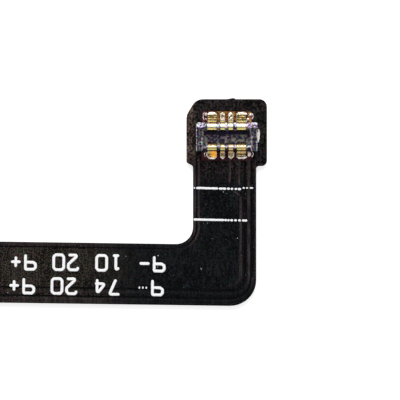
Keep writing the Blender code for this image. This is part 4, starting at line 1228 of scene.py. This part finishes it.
class BATTERY_OT_lead_print(bpy.types.Operator):
    """White screen print on the lead: plain numbers of the lead's pads, and two dashed fold lines"""

    bl_idname = "battery.lead_print"
    bl_label = "Lead print"

    def execute(self, context):
        settings = context.scene.lead_settings
        strokes = []
        for height, shift, marks in MARK_ROWS:
            for number, mark in enumerate(marks):
                for place, sign in enumerate(mark):
                    start = settings.mark_start + shift + number * settings.mark_pitch
                    x = CORNER.x - start - place * settings.digit_pitch
                    middle = Vector((x, run_edge(x, height)))
                    strokes += self.placed_strokes(sign, middle, settings)
        lift = settings.ink_height
        shape = {"Width": settings.stroke, "Height": 2 * settings.ink_height, "Step": 0.02 * MM,
                 "Corner Radius": settings.ink_corner, "Wobble": settings.ink_wobble}
        carrier = path_mesh("number_paths", strokes, lift)
        grown_piece("pad_numbers", "path_sweep", carrier, "white_ink", shape)
        lines = [([(LEG_LEFT + reach * MM, y - slope * reach * MM) for reach in dash], size)
                 for y, slope, size, dashes in FOLD_DASHES for dash in dashes]
        shape["Corner Radius"] = 0.0
        carrier = path_mesh("fold_paths", lines, lift)
        grown_piece("fold_lines", "path_sweep", carrier, "white_ink", shape)
        return {"FINISHED"}

    def placed_strokes(self, sign, middle, settings):
        """A sign's strokes, turned to read from the plug's side."""
        turn = Matrix.Rotation(math.pi - RUN_TILT, 2)
        size = Vector((settings.digit_width, settings.digit_height))
        return [([middle + turn @ Vector((x * size.x, y * size.y)) for x, y in stroke], 1.0)
                for stroke in STROKES[sign]]


# Specks that stand out, in millimetres left of and above the lead's outer corner
SEEN_DUST = ((0.92, 3.30), (0.53, 1.51), (2.68, 1.80), (0.73, 2.48), (1.6, 5.55), (1.44, 5.46), (2.58, 4.0),
             (4.80, 1.9), (4.78, 2.45), (12.1, 0.65), (0.95, 6.9), (0.55, 5.25), (2.83, 7.1))
# A speck on the plug, in from the housing's left end and up from the middle, and its size
PLUG_DUST = (0.27 * MM, 0.1 * MM, 1.6)
# Specks drawn at random: how many on the run and as many on the leg, the draw's seed, their size, the part of
# the run's width that they lie in, and how far they stay from the pack and from the lead's edges
DUST_COUNT = 22
DUST_SEED = 11
DRAWN_DUST = 0.5
RUN_DUST = (0.15, 0.95)
PACK_MARGIN = 0.5 * MM
EDGE_MARGIN = 0.1 * MM


class BATTERY_OT_lead_dust(bpy.types.Operator):
    """Dust specks on the lead and the plug"""

    bl_idname = "battery.lead_dust"
    bl_label = "Dust"

    def execute(self, context):
        settings = context.scene.lead_settings
        specks = random.Random(DUST_SEED)
        places = []
        for from_right, above in SEEN_DUST:
            x = CORNER.x - from_right * MM
            places.append(((x, CORNER.y + above * MM, lead_top(x) + settings.ridge_height), 1.0))
        inward, up, size = PLUG_DUST
        places.append(((PLUG_LOW.x + inward, PLUG.y + up, PLUG_HIGH.z), size))
        for number in range(DUST_COUNT):
            x = specks.uniform(PACK_END + PACK_MARGIN, CORNER.x - EDGE_MARGIN)
            above = specks.uniform(*RUN_DUST) * RUN_WIDTH
            places.append(((x, run_edge(x, above), lead_top(x)), DRAWN_DUST))
            x = specks.uniform(LEG_LEFT + EDGE_MARGIN, CORNER.x - EDGE_MARGIN)
            y = specks.uniform(run_edge(x, RUN_WIDTH), NECK_Y)
            places.append(((x, y, lead_top(x)), DRAWN_DUST))
        points, sizes = zip(*places)
        carrier = sized_mesh("dust_places", points, [], sizes)
        values = {"Size": settings.dust_size, "Flatness": 0.5, "Variation": 0.6, "Seed": 4, "Segments": 7}
        grown_piece("dust_specks", "point_scatter", carrier, "dust_speck", values)
        return {"FINISHED"}


# Rounding of an opening's corners, and thickness of the copper that shows in it
OPENING_CORNER = 0.1 * MM
OPENING_COPPER = 0.007 * MM


class BATTERY_OT_film_openings(bpy.types.Operator):
    """Openings in the film at each row of contacts, with the copper bare in them"""

    bl_idname = "battery.film_openings"
    bl_label = "Film openings"

    def execute(self, context):
        for row, turn, side in ROWS:
            first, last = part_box(row + "_joint_1"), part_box(row + "_joint_4")
            low = Vector(map(min, first[0], last[0]))
            high = Vector(map(max, first[1], last[1]))
            corners = [(x, y, OPENING_CORNER)
                       for x, y in ((low.x, low.y), (high.x, low.y), (high.x, high.y), (low.x, high.y))]
            ring = [(*point, LEAD_TOP) for point in rounded(corners, closed=True)]
            mesh = mesh_from(extruded(ring, (0, 0, OPENING_COPPER)), row + "_opening")
            finish = "bare_copper" if row == "upper" else "fluxed_copper"
            new_piece(row + "_opening", mesh, finish)
        return {"FINISHED"}


def wall_corners(plug, side=1, offset=0.0):
    """A wall's shoulder and its crest over the slot, offset outward, as corners (across, up, radius)."""
    outer = plug.width / 2 + offset
    inner = plug.slot_width / 2 - offset
    level = plug.shoulder + offset / math.cos(plug.slope)
    shoulder = level - offset * math.tan(plug.slope)
    crest = level + (plug.width / 2 - inner) * math.tan(plug.slope)
    return [(side * outer, shoulder, plug.shoulder_bend + offset), (side * inner, crest, plug.crown + offset)]


def contact_line(plug, foot_length, scored):
    """Middle line of a contact, out from the plug's middle and up: toe, foot, heel, over the wall, inside."""
    half = plug.contact / 2
    foot = plug.foot_lift + half
    shoulder, crest = wall_corners(plug, offset=plug.proud - half)
    heel = shoulder[0]
    toe = plug.width / 2 + foot_length
    shares = [1 - step / FOOT_STEPS for step in range(FOOT_STEPS)]
    foot_points = [(heel + (toe - heel) * share, foot - plug.foot_fall * share, 0)
                   for share in shares if (toe - heel) * share > plug.heel]
    line = rounded(foot_points + [
        (shoulder[0], foot, plug.heel),
        shoulder,
        crest,
        (crest[0], plug.slot_floor + plug.contact, 0),
    ])
    if scored:
        for point in line[:len(foot_points)]:
            for score in range(SCORE_COUNT):
                away = (point.x - plug.width / 2 - SCORE_START - score * SCORE_PITCH) / plug.score_width
                point.y -= plug.score_depth * math.exp(-away * away)
    return line


def strip_mesh(name, line, width, thickness, across=12, dimple=None):
    """A formed strip: the line gives its middle, out along Y and up along Z, and width lies along X."""
    shape = bmesh.new()
    rows = []
    for out, up in line:
        row = []
        for column in range(across + 1):
            x = width * (column / across - 0.5)
            drop = 0.0
            if dimple:
                place, radius, depth = dimple
                drop = depth * math.exp(-(math.hypot(x, out - place) / radius) ** 4)
            row.append(shape.verts.new((x, out, up - drop)))
        rows.append(row)
    for lower, upper in zip(rows, rows[1:]):
        for column in range(across):
            shape.faces.new((lower[column], lower[column + 1], upper[column + 1], upper[column]))
    bmesh.ops.recalc_face_normals(shape, faces=shape.faces)
    obj = helper(name + "_strip", mesh_from(shape, name))
    skin = obj.modifiers.new("thickness", "SOLIDIFY")
    skin.thickness = thickness
    skin.offset = 0
    skin.use_even_offset = True
    add_bevel(obj, thickness * 0.16)
    return formed_mesh(obj)


# Solder beyond the contacts' sides: paths in millimetres from the plug's middle, each with its size
SIDE_BEADS = {
    "upper_joint_1": ((((-1.08, 1.19), (-1.144, 1.115), (-1.144, 0.945), (-1.096, 0.808)), 0.35),
                      (((-1.008, 1.183), (-1.018, 1.003)), 1.25), (((-1.047, 0.911), (-0.95, 0.794)), 0.5)),
    "upper_joint_4": ((((1.125, 1.144), (1.193, 0.998)), 1.8),
                      (((1.086, 0.911), (0.959, 0.765), (0.90, 0.69)), 1.3),
                      (((0.794, 1.2), (0.989, 1.086)), 1.0),
                      (((1.26, 1.14), (1.29, 0.969), (1.232, 0.852)), 0.4)),
    "lower_joint_1": ((((-1.042, -0.716), (-1.086, -0.833), (-1.047, -0.969)), 0.4),
                      (((-0.965, -0.716), (-0.955, -0.843), (-0.93, -0.96)), 1.05)),
    "lower_joint_3": ((((0.30, -0.7), (0.355, -0.784), (0.317, -0.979)), 0.45),),
    "lower_joint_4": ((((0.99, -0.69), (1.09, -0.73), (1.10, -0.85), (1.04, -0.94)), 1.7),
                      (((0.84, -0.975), (0.99, -0.965)), 1.15),
                      (((1.232, -0.706), (1.31, -0.823), (1.222, -0.979)), 0.4)),
}
# Steps of a bead's sweep, how ragged it is, and the size of a fillet at a contact's side
BEAD_STEP = 0.012 * MM
BEAD_WOBBLE = 0.02 * MM
FILLET_SIZE = 0.28
# Solder at the right hold-down tab, in the same way, and the width of its beads
HOLD_DOWN_BEAD = 0.12 * MM
HOLD_DOWN_BEADS = (
    (((1.485, 0.365), (1.568, 0.317), (1.588, 0.166), (1.568, -0.005), (1.592, -0.102), (1.495, -0.131)),
     0.6),
    (((1.56, 0.32), (1.565, 0.25)), 1.1),
    (((1.555, -0.04), (1.57, -0.1)), 1.0),
)


def foot_length(plug, row):
    return plug.upper_toe if row == "upper" else plug.lower_toe


class BATTERY_OT_plug_contacts(bpy.types.Operator):
    """Formed gold contacts, over the plug's walls and out onto the lead"""

    bl_idname = "battery.plug_contacts"
    bl_label = "Contacts"

    def execute(self, context):
        plug = context.scene.plug_settings
        for row, turn, side in ROWS:
            for number in CONTACTS:
                node = f"{row}_contact_{number}"
                low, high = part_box(node)
                wide = number in WIDE_CONTACTS
                dimple = None if wide else (plug.width / 2 + DIMPLE_PLACE, plug.dimple_size, plug.dimple)
                line = contact_line(plug, foot_length(plug, row), wide)
                mesh = strip_mesh(node, line, high.x - low.x, plug.contact, dimple=dimple)
                place = Vector(((low.x + high.x) / 2, PLUG.y, PLUG.z))
                mesh.transform(Matrix.Translation(place) @ Matrix.Rotation(turn, 4, "Z"))
                new_piece(node + "_formed", mesh, "plated_gold", [node])
        return {"FINISHED"}


class BATTERY_OT_plug_solder(bpy.types.Operator):
    """Solder at the contacts: a bead at each toe, fillets at the sides, and crescents past the outer feet"""

    bl_idname = "battery.plug_solder"
    bl_label = "Solder joints"

    def execute(self, context):
        plug = context.scene.plug_settings
        for row, turn, side in ROWS:
            for number in CONTACTS:
                self.make_joint(plug, row, number, side)
        self.make_hold_downs(plug)
        return {"FINISHED"}

    def make_joint(self, plug, row, number, side):
        node = f"{row}_joint_{number}"
        low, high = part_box(f"{row}_contact_{number}")
        level = PLUG.z + plug.bead / 4
        wall = PLUG.y + side * plug.width / 2
        toe = wall + side * foot_length(plug, row)
        bead = toe + side * plug.bead / 4
        inset = plug.bead / 3
        paths = [([(low.x + inset, bead, level), (high.x - inset, bead, level)], 1.0)]
        for points, size in SIDE_BEADS.get(node, ()):
            paths.append(([(PLUG.x + x * MM, PLUG.y + y * MM, level) for x, y in points], size))
        for x, inward in ((low.x, number > CONTACTS[0]), (high.x, number < CONTACTS[-1])):
            if inward:
                paths.append(([(x, toe, level), (x, wall + side * plug.bead / 2, level)], FILLET_SIZE))
        shape = {"Width": plug.bead, "Height": plug.bead / 2, "Step": BEAD_STEP, "Sides": 14,
                 "Corner Radius": 0.08 * MM, "Wobble": BEAD_WOBBLE}
        grown_piece(node + "_solder", "path_sweep", path_mesh(node, paths), "solder", shape, [node])

    def make_hold_downs(self, plug):
        """Bright solder at the right tab; the left tab and its joint take the black film's finish."""
        level = PLUG.z + HOLD_DOWN_BEAD / 2
        paths = [([(PLUG.x + x * MM, PLUG.y + y * MM, level) for x, y in points], size)
                 for points, size in HOLD_DOWN_BEADS]
        shape = {"Width": HOLD_DOWN_BEAD, "Height": HOLD_DOWN_BEAD, "Step": BEAD_STEP, "Sides": 16,
                 "Corner Radius": 0.05 * MM, "Wobble": BEAD_WOBBLE}
        grown_piece("hold_down_right_solder", "path_sweep", path_mesh("hold_down_beads", paths), "solder",
                    shape, ["hold_down_joint_right"])
        for node in ("hold_down_joint_left", "hold_down_left", "hold_down_right"):
            obj = helper(node + "_source", node_copy(node))
            add_bevel(obj, plug.edge)
            shown_black = node != "hold_down_right"
            finish, slot = ("black_film", "black_coverlay") if shown_black else ("solder", "nickel")
            new_piece(node + "_formed", settled_mesh(obj), finish, [node])


def prism(name, section, middle, bar_length):
    """A bar along X with a closed section of (y, z) points."""
    ring = [(middle - bar_length / 2, y, z) for y, z in section]
    return plain_mesh(extruded(ring, (bar_length, 0, 0)), name)


def block(name, size, centre, round_width):
    """A block with all its edges rounded."""
    shape = bmesh.new()
    bmesh.ops.create_cube(shape, size=1.0)
    bmesh.ops.scale(shape, verts=shape.verts, vec=size)
    bmesh.ops.translate(shape, verts=shape.verts, vec=centre)
    bmesh.ops.bevel(shape, geom=list(shape.edges), offset=round_width, segments=4, profile=0.5,
                    affect="EDGES")
    return plain_mesh(shape, name)


# The cuts leave points this close to each other on the housing
HOUSING_MERGE = 5e-7
# How far the grooves' cutter goes past what it cuts
SPARE = 0.1 * MM
# Marks of the mould, in millimetres: the ring's place from the housing's left end and middle line, the arc's
# from its right end, their radii along X and Y, and the stroke's ends, left of the ring's middle and below it
MOULD_RING, RING_RADII = (0.21, -0.33), (0.11, 0.07)
MOULD_ARC, ARC_RADII = (-0.14, -0.22), (0.13, 0.34)
MOULD_STROKE = ((0.05, 0.13), (0.08, 0.27))
MARK_TURNS = [math.radians(15 * step) for step in range(25)]


class BATTERY_OT_plug_housing(bpy.types.Operator):
    """Moulded housing of the plug, with its contact grooves"""

    bl_idname = "battery.plug_housing"
    bl_label = "Plug housing"

    def execute(self, context):
        plug = context.scene.plug_settings
        outer, inner = plug.width / 2, plug.slot_width / 2
        section = rounded([
            (-outer, 0, 0),
            (outer, 0, 0),
            *wall_corners(plug),
            (inner, plug.slot_floor, plug.slot_fillet),
            (-inner, plug.slot_floor, plug.slot_fillet),
            *reversed(wall_corners(plug, side=-1)),
        ], closed=True)
        section = [(PLUG.y + point.x, PLUG.z + point.y) for point in section]
        whole = PLUG_HIGH - PLUG_LOW
        housing = helper("housing_bar", prism("housing_bar", section, PLUG.x, whole.x - plug.end_wall))
        others = [self.groove_cutter(plug)]
        join_or_cut(housing, others[0], "DIFFERENCE")
        for side in (-1, 1):
            name = f"end_block_{side}"
            centre = (PLUG.x + side * (whole.x - plug.end_wall) / 2, PLUG.y, PLUG.z + whole.z / 2)
            end = helper(name, block(name, (plug.end_wall, whole.y, whole.z), centre, plug.block_edge))
            join_or_cut(housing, end, "UNION")
            others.append(end)
        mesh = settled_mesh(housing)
        for other in others:
            bpy.data.objects.remove(other)
        source = helper("plug_body_source", mesh_from(cleaned(mesh, merge=HOUSING_MERGE), "plug_body"))
        add_bevel(source, plug.edge)
        new_piece("plug_body", formed_mesh(source), "housing_resin", ["connector_housing"])
        self.mould_marks()
        return {"FINISHED"}

    def mould_marks(self):
        """Raised lines of the mould, painted pale as a highlight: a ring and a stroke on the left block, an
        arc on the right.
        """
        level = PLUG_HIGH.z
        ring = Vector((PLUG_LOW.x + MOULD_RING[0] * MM, PLUG.y + MOULD_RING[1] * MM))
        arc = Vector((PLUG_HIGH.x + MOULD_ARC[0] * MM, PLUG.y + MOULD_ARC[1] * MM))
        along, across = RING_RADII
        ring_points = [(ring.x + along * MM * math.cos(turn), ring.y + across * MM * math.sin(turn), level)
                       for turn in MARK_TURNS]
        along, across = ARC_RADII
        arc_points = [(arc.x - along * MM * math.sin(turn), arc.y + across * MM * math.cos(turn), level)
                      for turn in MARK_TURNS if turn <= math.pi]
        stroke = [(ring.x - left * MM, ring.y - down * MM, level) for left, down in MOULD_STROKE]
        paths = [(ring_points, 1.0), (arc_points, 1.0), (stroke, 1.2)]
        shape = {"Width": 0.03 * MM, "Height": 0.012 * MM, "Step": 0.02 * MM, "Sides": 8, "Wobble": 0.03 * MM}
        grown_piece("mould_marks", "path_sweep", path_mesh("mark_paths", paths), "burnished_resin",
                    shape)

    def groove_cutter(self, plug):
        """The eight grooves as one cutter, each from its floor under a contact to outside the housing."""
        shoulder, crest = wall_corners(plug, offset=plug.proud - plug.contact - plug.clearance)
        floor = rounded([(shoulder[0], -SPARE, 0), (shoulder[0], shoulder[1], 0), crest,
                         (crest[0], plug.slot_floor, 0)])
        section = floor + [
            Vector((crest[0] - SPARE, plug.slot_floor)),
            Vector((crest[0] - SPARE, plug.shoulder + 2 * SPARE)),
            Vector((shoulder[0] + 2 * SPARE, plug.shoulder + 2 * SPARE)),
            Vector((shoulder[0] + 2 * SPARE, -SPARE)),
        ]
        shape = bmesh.new()
        for row, turn, side in ROWS:
            for number in CONTACTS:
                low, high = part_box(f"{row}_contact_{number}")
                points = [(PLUG.y + side * point.x, PLUG.z + point.y) for point in section]
                width = high.x - low.x + 2 * plug.clearance
                shape.from_mesh(prism("groove", points, (low.x + high.x) / 2, width))
        return helper("groove_cutter", mesh_from(shape, "groove_cutter"))


# Finishes of the solids that are shown as they are
SOLID_FINISHES = {
    "cell_sleeve": "sleeve_film", "pouch_cell": "pouch_foil", "protection_board": "board_mask",
    "positive_tab": "tab_aluminium", "negative_tab": "tab_nickel", "positive_tab_seal": "tab_seal",
    "negative_tab_seal": "tab_seal", "terrace_insulator": "insulator_paper", "head_stiffener": "stiffener",
    "positive_weld_plate": "tab_nickel", "negative_weld_plate": "tab_nickel",
    **{f"lead_joint_{number}": "solder" for number in CONTACTS},
    **{part: part + "_finish" for part in BOARD_PARTS},
}


class BATTERY_OT_cad_finishes(bpy.types.Operator):
    """Materials of the solids that are shown as they are"""

    bl_idname = "battery.cad_finishes"
    bl_label = "Finishes of the solids"

    def execute(self, context):
        for name, finish in SOLID_FINISHES.items():
            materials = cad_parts[name].data.materials
            materials.clear()
            materials.append(FINISHES[finish])
        return {"FINISHED"}


# Board tape: the parts that hold it up, the height above which it can sag, its steps, and how far from a part
# it hangs free
PARTS_UNDER_TAPE = (*BOARD_PARTS, "positive_tab", "negative_tab")
TAPE_LEVEL = 2.0 * MM
TAPE_STEP = 0.3 * MM
TAPE_REACH = 1.0 * MM
# From the tape's left and right ends: where it is divided, and where its folds hold it
DIVIDED = (0.2 * MM, 0.6 * MM)
FOLDED = (0.15 * MM, 0.55 * MM)


class BATTERY_OT_board_tape(bpy.types.Operator):
    """Amber film over the board, which sags a little between the parts under it"""

    bl_idname = "battery.board_tape"
    bl_label = "Board tape"

    def execute(self, context):
        pack = context.scene.pack_settings
        low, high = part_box("board_tape")
        shape = cleaned(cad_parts["board_tape"].data, flat=0.2)
        self.divide(shape, 0, low.x + DIVIDED[0], high.x - DIVIDED[1])
        self.divide(shape, 1, low.y, high.y)
        parts = [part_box(node) for node in PARTS_UNDER_TAPE]
        for vert in shape.verts:
            if vert.co.z > TAPE_LEVEL:
                vert.co.z -= pack.tape_sag * self.slack(vert.co, parts, low, high)
        mesh = mesh_from(shape, "board_tape_film")
        new_piece("board_tape_film", mesh, "amber_tape", ["board_tape"])
        return {"FINISHED"}

    def divide(self, shape, axis, start, end):
        """Cuts the film across one axis, into steps that can follow the sag."""
        direction = Vector((0, 0, 0))
        direction[axis] = 1
        count = int((end - start) / TAPE_STEP)
        for number in range(1, count):
            geometry = [*shape.verts, *shape.edges, *shape.faces]
            place = direction * (start + number * TAPE_STEP)
            bmesh.ops.bisect_plane(shape, geom=geometry, plane_co=place, plane_no=direction, dist=MERGE)

    def slack(self, place, parts, low, high):
        """1 where the film hangs free, and 0 over a part and at the film's folds."""
        held = min(place.x - low.x - FOLDED[0], high.x - FOLDED[1] - place.x)
        for part_low, part_high in parts:
            gap_x = max(part_low.x - place.x, place.x - part_high.x, 0.0)
            gap_y = max(part_low.y - place.y, place.y - part_high.y, 0.0)
            held = min(held, math.hypot(gap_x, gap_y))
        return smooth_step(held / TAPE_REACH)


# The board's long tracks: in from its left and right edges, and in millimetres from its near and far ends,
# with how much further in each next one ends
LEFT_TRACKS = (0.35 * MM, 0.62 * MM)
RIGHT_TRACK = 0.35 * MM
TRACK_NEAR, TRACK_FAR = 1.0, 1.4
TRACK_SHORTER = 1.0
# Their branches: how many, the first one's place, the distance between two, how far along a branch's bend and
# its end lie, and the size
BRANCH_COUNT = 14
FIRST_BRANCH = 4.5 * MM
BRANCH_PITCH = 2.4 * MM
BRANCH_BEND, BRANCH_END = 0.3 * MM, 0.9 * MM
BRANCH_SIZE = 0.8
# The tabs with their finish and slot, and their weld spots, in from a tab's end and out from its middle, in
# millimetres
WELDED_TABS = (("positive", "tab_aluminium", "tab_aluminium"), ("negative", "tab_nickel", "nickel"))
WELD_COLUMNS = (0.8, 1.6)
WELD_ROWS = (-1.0, 0.0, 1.0)
WELD_SPOT_DEPTH = 0.012 * MM


class BATTERY_OT_board_tracks(bpy.types.Operator):
    """Copper tracks under the board's solder mask, and the weld spots on the cell's tabs"""

    bl_idname = "battery.board_tracks"
    bl_label = "Board tracks and weld spots"

    def execute(self, context):
        z = BOARD_HIGH.z
        rows = [*(BOARD_LOW.x + inset for inset in LEFT_TRACKS), BOARD_HIGH.x - RIGHT_TRACK]
        tracks = []
        for number, x in enumerate(rows):
            shorter = number * TRACK_SHORTER
            near, far = BOARD_LOW.y + (TRACK_NEAR + shorter) * MM, BOARD_HIGH.y - (TRACK_FAR + shorter) * MM
            tracks.append(([(x, near, z), (x, far, z)], 1.0))
        for number in range(BRANCH_COUNT):
            y = BOARD_LOW.y + FIRST_BRANCH + number * BRANCH_PITCH
            middle = BOARD_MIDDLE.x
            start = (rows[number % len(rows)], y, z)
            branch = [start, (middle, y + BRANCH_BEND, z), (middle, y + BRANCH_END, z)]
            tracks.append((branch, BRANCH_SIZE))
        shape = {"Width": 0.16 * MM, "Height": 0.012 * MM, "Step": 0.2 * MM, "Corner Radius": 0.15 * MM,
                 "Sides": 6}
        carrier = path_mesh("track_paths", tracks)
        grown_piece("board_tracks", "path_sweep", carrier, "masked_track", shape)
        for side, finish, slot in WELDED_TABS:
            low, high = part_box(side + "_tab")
            middle = (low.y + high.y) / 2
            spots = [(high.x - column * MM, middle + row * MM, high.z - WELD_SPOT_DEPTH)
                     for column in WELD_COLUMNS for row in WELD_ROWS]
            carrier = sized_mesh("spot_places", spots, [], [1.0] * len(spots))
            values = {"Size": 0.5 * MM, "Flatness": 0.1, "Variation": 0.06, "Seed": 2, "Segments": 20}
            grown_piece(side + "_weld_spots", "point_scatter", carrier, finish, values)
        return {"FINISHED"}


def seen_directly(wires):
    """1 for rays from the camera and those that gloss and glass turn, and 0 for rays that light things."""
    rays = wires.node("ShaderNodeLightPath").outputs
    return wires.most(rays["Is Camera Ray"], rays["Is Glossy Ray"], rays["Is Transmission Ray"])


# Where the lights stand round the battery, turned from X
KEY_HEADING = math.radians(90)
FILL_HEADING = math.radians(260)


class BATTERY_OT_stage(bpy.types.Operator):
    """Floor, soft lights and the camera straight above the plug and the bend"""

    bl_idname = "battery.stage"
    bl_label = "Floor, lights and camera"

    def execute(self, context):
        stage = context.scene.stage_settings
        self.make_floor(stage)
        self.make_world(context.scene, stage)
        centre = (CAD_BOX[0] + CAD_BOX[1]) / 2
        self.make_light("key_light", stage.key_power, stage.key_size, stage.key_height, KEY_HEADING,
                        centre, stage.light_distance)
        self.make_light("fill_light", stage.fill_power, stage.fill_size, stage.fill_height, FILL_HEADING,
                        centre, stage.light_distance)
        self.make_camera(context.scene)
        return {"FINISHED"}

    def make_floor(self, stage):
        """A plain pale floor that takes shadows and that the camera sees as white."""
        shape = bmesh.new()
        bmesh.ops.create_grid(shape, x_segments=1, y_segments=1, size=stage.floor_size / 2)
        bmesh.ops.translate(shape, verts=shape.verts, vec=(0, 0, -2 * SEAT))
        mesh = plain_mesh(shape, "floor")
        material = bpy.data.materials.new("pale_floor")
        material.use_nodes = True
        wires = Wires(material.node_tree)
        material.node_tree.nodes.remove(material.node_tree.nodes["Principled BSDF"])
        output = material.node_tree.nodes["Material Output"]
        plain = wires.node("ShaderNodeBsdfDiffuse", {"Color": rgba(stage.floor)})
        strength = wires.times(seen_directly(wires), stage.floor_glow)
        glow = wires.node("ShaderNodeEmission", {"Strength": strength})
        both = wires.node("ShaderNodeAddShader", {0: plain.outputs[0], 1: glow.outputs[0]})
        wires.feed(output.inputs["Surface"], both.outputs[0])
        mesh.materials.append(material)
        helper("floor", mesh)

    def make_world(self, scene, stage):
        world = bpy.data.worlds.new("plain_surroundings")
        world.use_nodes = True
        wires = Wires(world.node_tree)
        background = world.node_tree.nodes["Background"]
        background.inputs["Color"].default_value = rgba(WHITE)
        wires.feed(background.inputs["Strength"], wires.most(seen_directly(wires), stage.sky))
        scene.world = world

    def make_light(self, name, power, size, height, heading, centre, distance):
        data = bpy.data.lights.new(name, "AREA")
        data.shape = "SQUARE"
        data.size = size
        data.energy = power
        light = bpy.data.objects.new(name, data)
        level = math.cos(height)
        away = Vector((math.cos(heading) * level, math.sin(heading) * level, math.sin(height)))
        light.location = centre + away * distance
        light.rotation_euler = away.to_track_quat("Z", "Y").to_euler()
        bpy.context.scene.collection.objects.link(light)

    def make_camera(self, scene):
        data = bpy.data.cameras.new("camera")
        data.sensor_width = SENSOR_WIDTH
        data.lens = SENSOR_WIDTH * CAMERA_HEIGHT / VIEW_WIDTH
        data.clip_start = CAMERA_HEIGHT / 10
        data.clip_end = 10.0
        camera = bpy.data.objects.new("camera", data)
        camera.location = (PLUG.x + VIEW_FROM_PLUG.x, PLUG.y + VIEW_FROM_PLUG.y, LEAD_TOP + CAMERA_HEIGHT)
        scene.collection.objects.link(camera)
        scene.camera = camera
        scene.view_settings.view_transform = "Standard"


class BATTERY_PT_panel(bpy.types.Panel):
    """Lists the steps that dress the battery"""

    bl_idname = "BATTERY_PT_panel"
    bl_label = "Phone battery"
    bl_space_type = "VIEW_3D"
    bl_region_type = "UI"
    bl_category = "Battery"

    def draw(self, context):
        for step in STEPS:
            self.layout.operator(step.bl_idname)
        for group in SETTINGS:
            values = getattr(context.scene, group)
            box = self.layout.box()
            for name in values.bl_rna.properties.keys():
                if name not in ("rna_type", "name"):
                    box.prop(values, name)


SETTINGS = {
    "lead_settings": LeadSettings,
    "plug_settings": PlugSettings,
    "pack_settings": PackSettings,
    "stage_settings": StageSettings,
}
STEPS = (
    BATTERY_OT_materials,
    BATTERY_OT_lead_film,
    BATTERY_OT_lead_tracks,
    BATTERY_OT_lead_print,
    BATTERY_OT_lead_dust,
    BATTERY_OT_film_openings,
    BATTERY_OT_plug_housing,
    BATTERY_OT_plug_contacts,
    BATTERY_OT_plug_solder,
    BATTERY_OT_cad_finishes,
    BATTERY_OT_board_tape,
    BATTERY_OT_board_tracks,
    BATTERY_OT_stage,
)


def register():
    for group in SETTINGS.values():
        bpy.utils.register_class(group)
    for name, group in SETTINGS.items():
        setattr(bpy.types.Scene, name, bpy.props.PointerProperty(type=group))
    for step in (*STEPS, BATTERY_PT_panel):
        bpy.utils.register_class(step)


def unregister():
    for step in (*STEPS, BATTERY_PT_panel):
        bpy.utils.unregister_class(step)
    for name, group in SETTINGS.items():
        delattr(bpy.types.Scene, name)
        bpy.utils.unregister_class(group)


def main():
    register()
    bpy.ops.battery.materials()
    bpy.ops.battery.lead_film()
    bpy.ops.battery.lead_tracks()
    bpy.ops.battery.lead_print()
    bpy.ops.battery.lead_dust()
    bpy.ops.battery.film_openings()
    bpy.ops.battery.plug_housing()
    bpy.ops.battery.plug_contacts()
    bpy.ops.battery.plug_solder()
    bpy.ops.battery.cad_finishes()
    bpy.ops.battery.board_tape()
    bpy.ops.battery.board_tracks()
    bpy.ops.battery.stage()


if __name__ == "__main__":
    main()
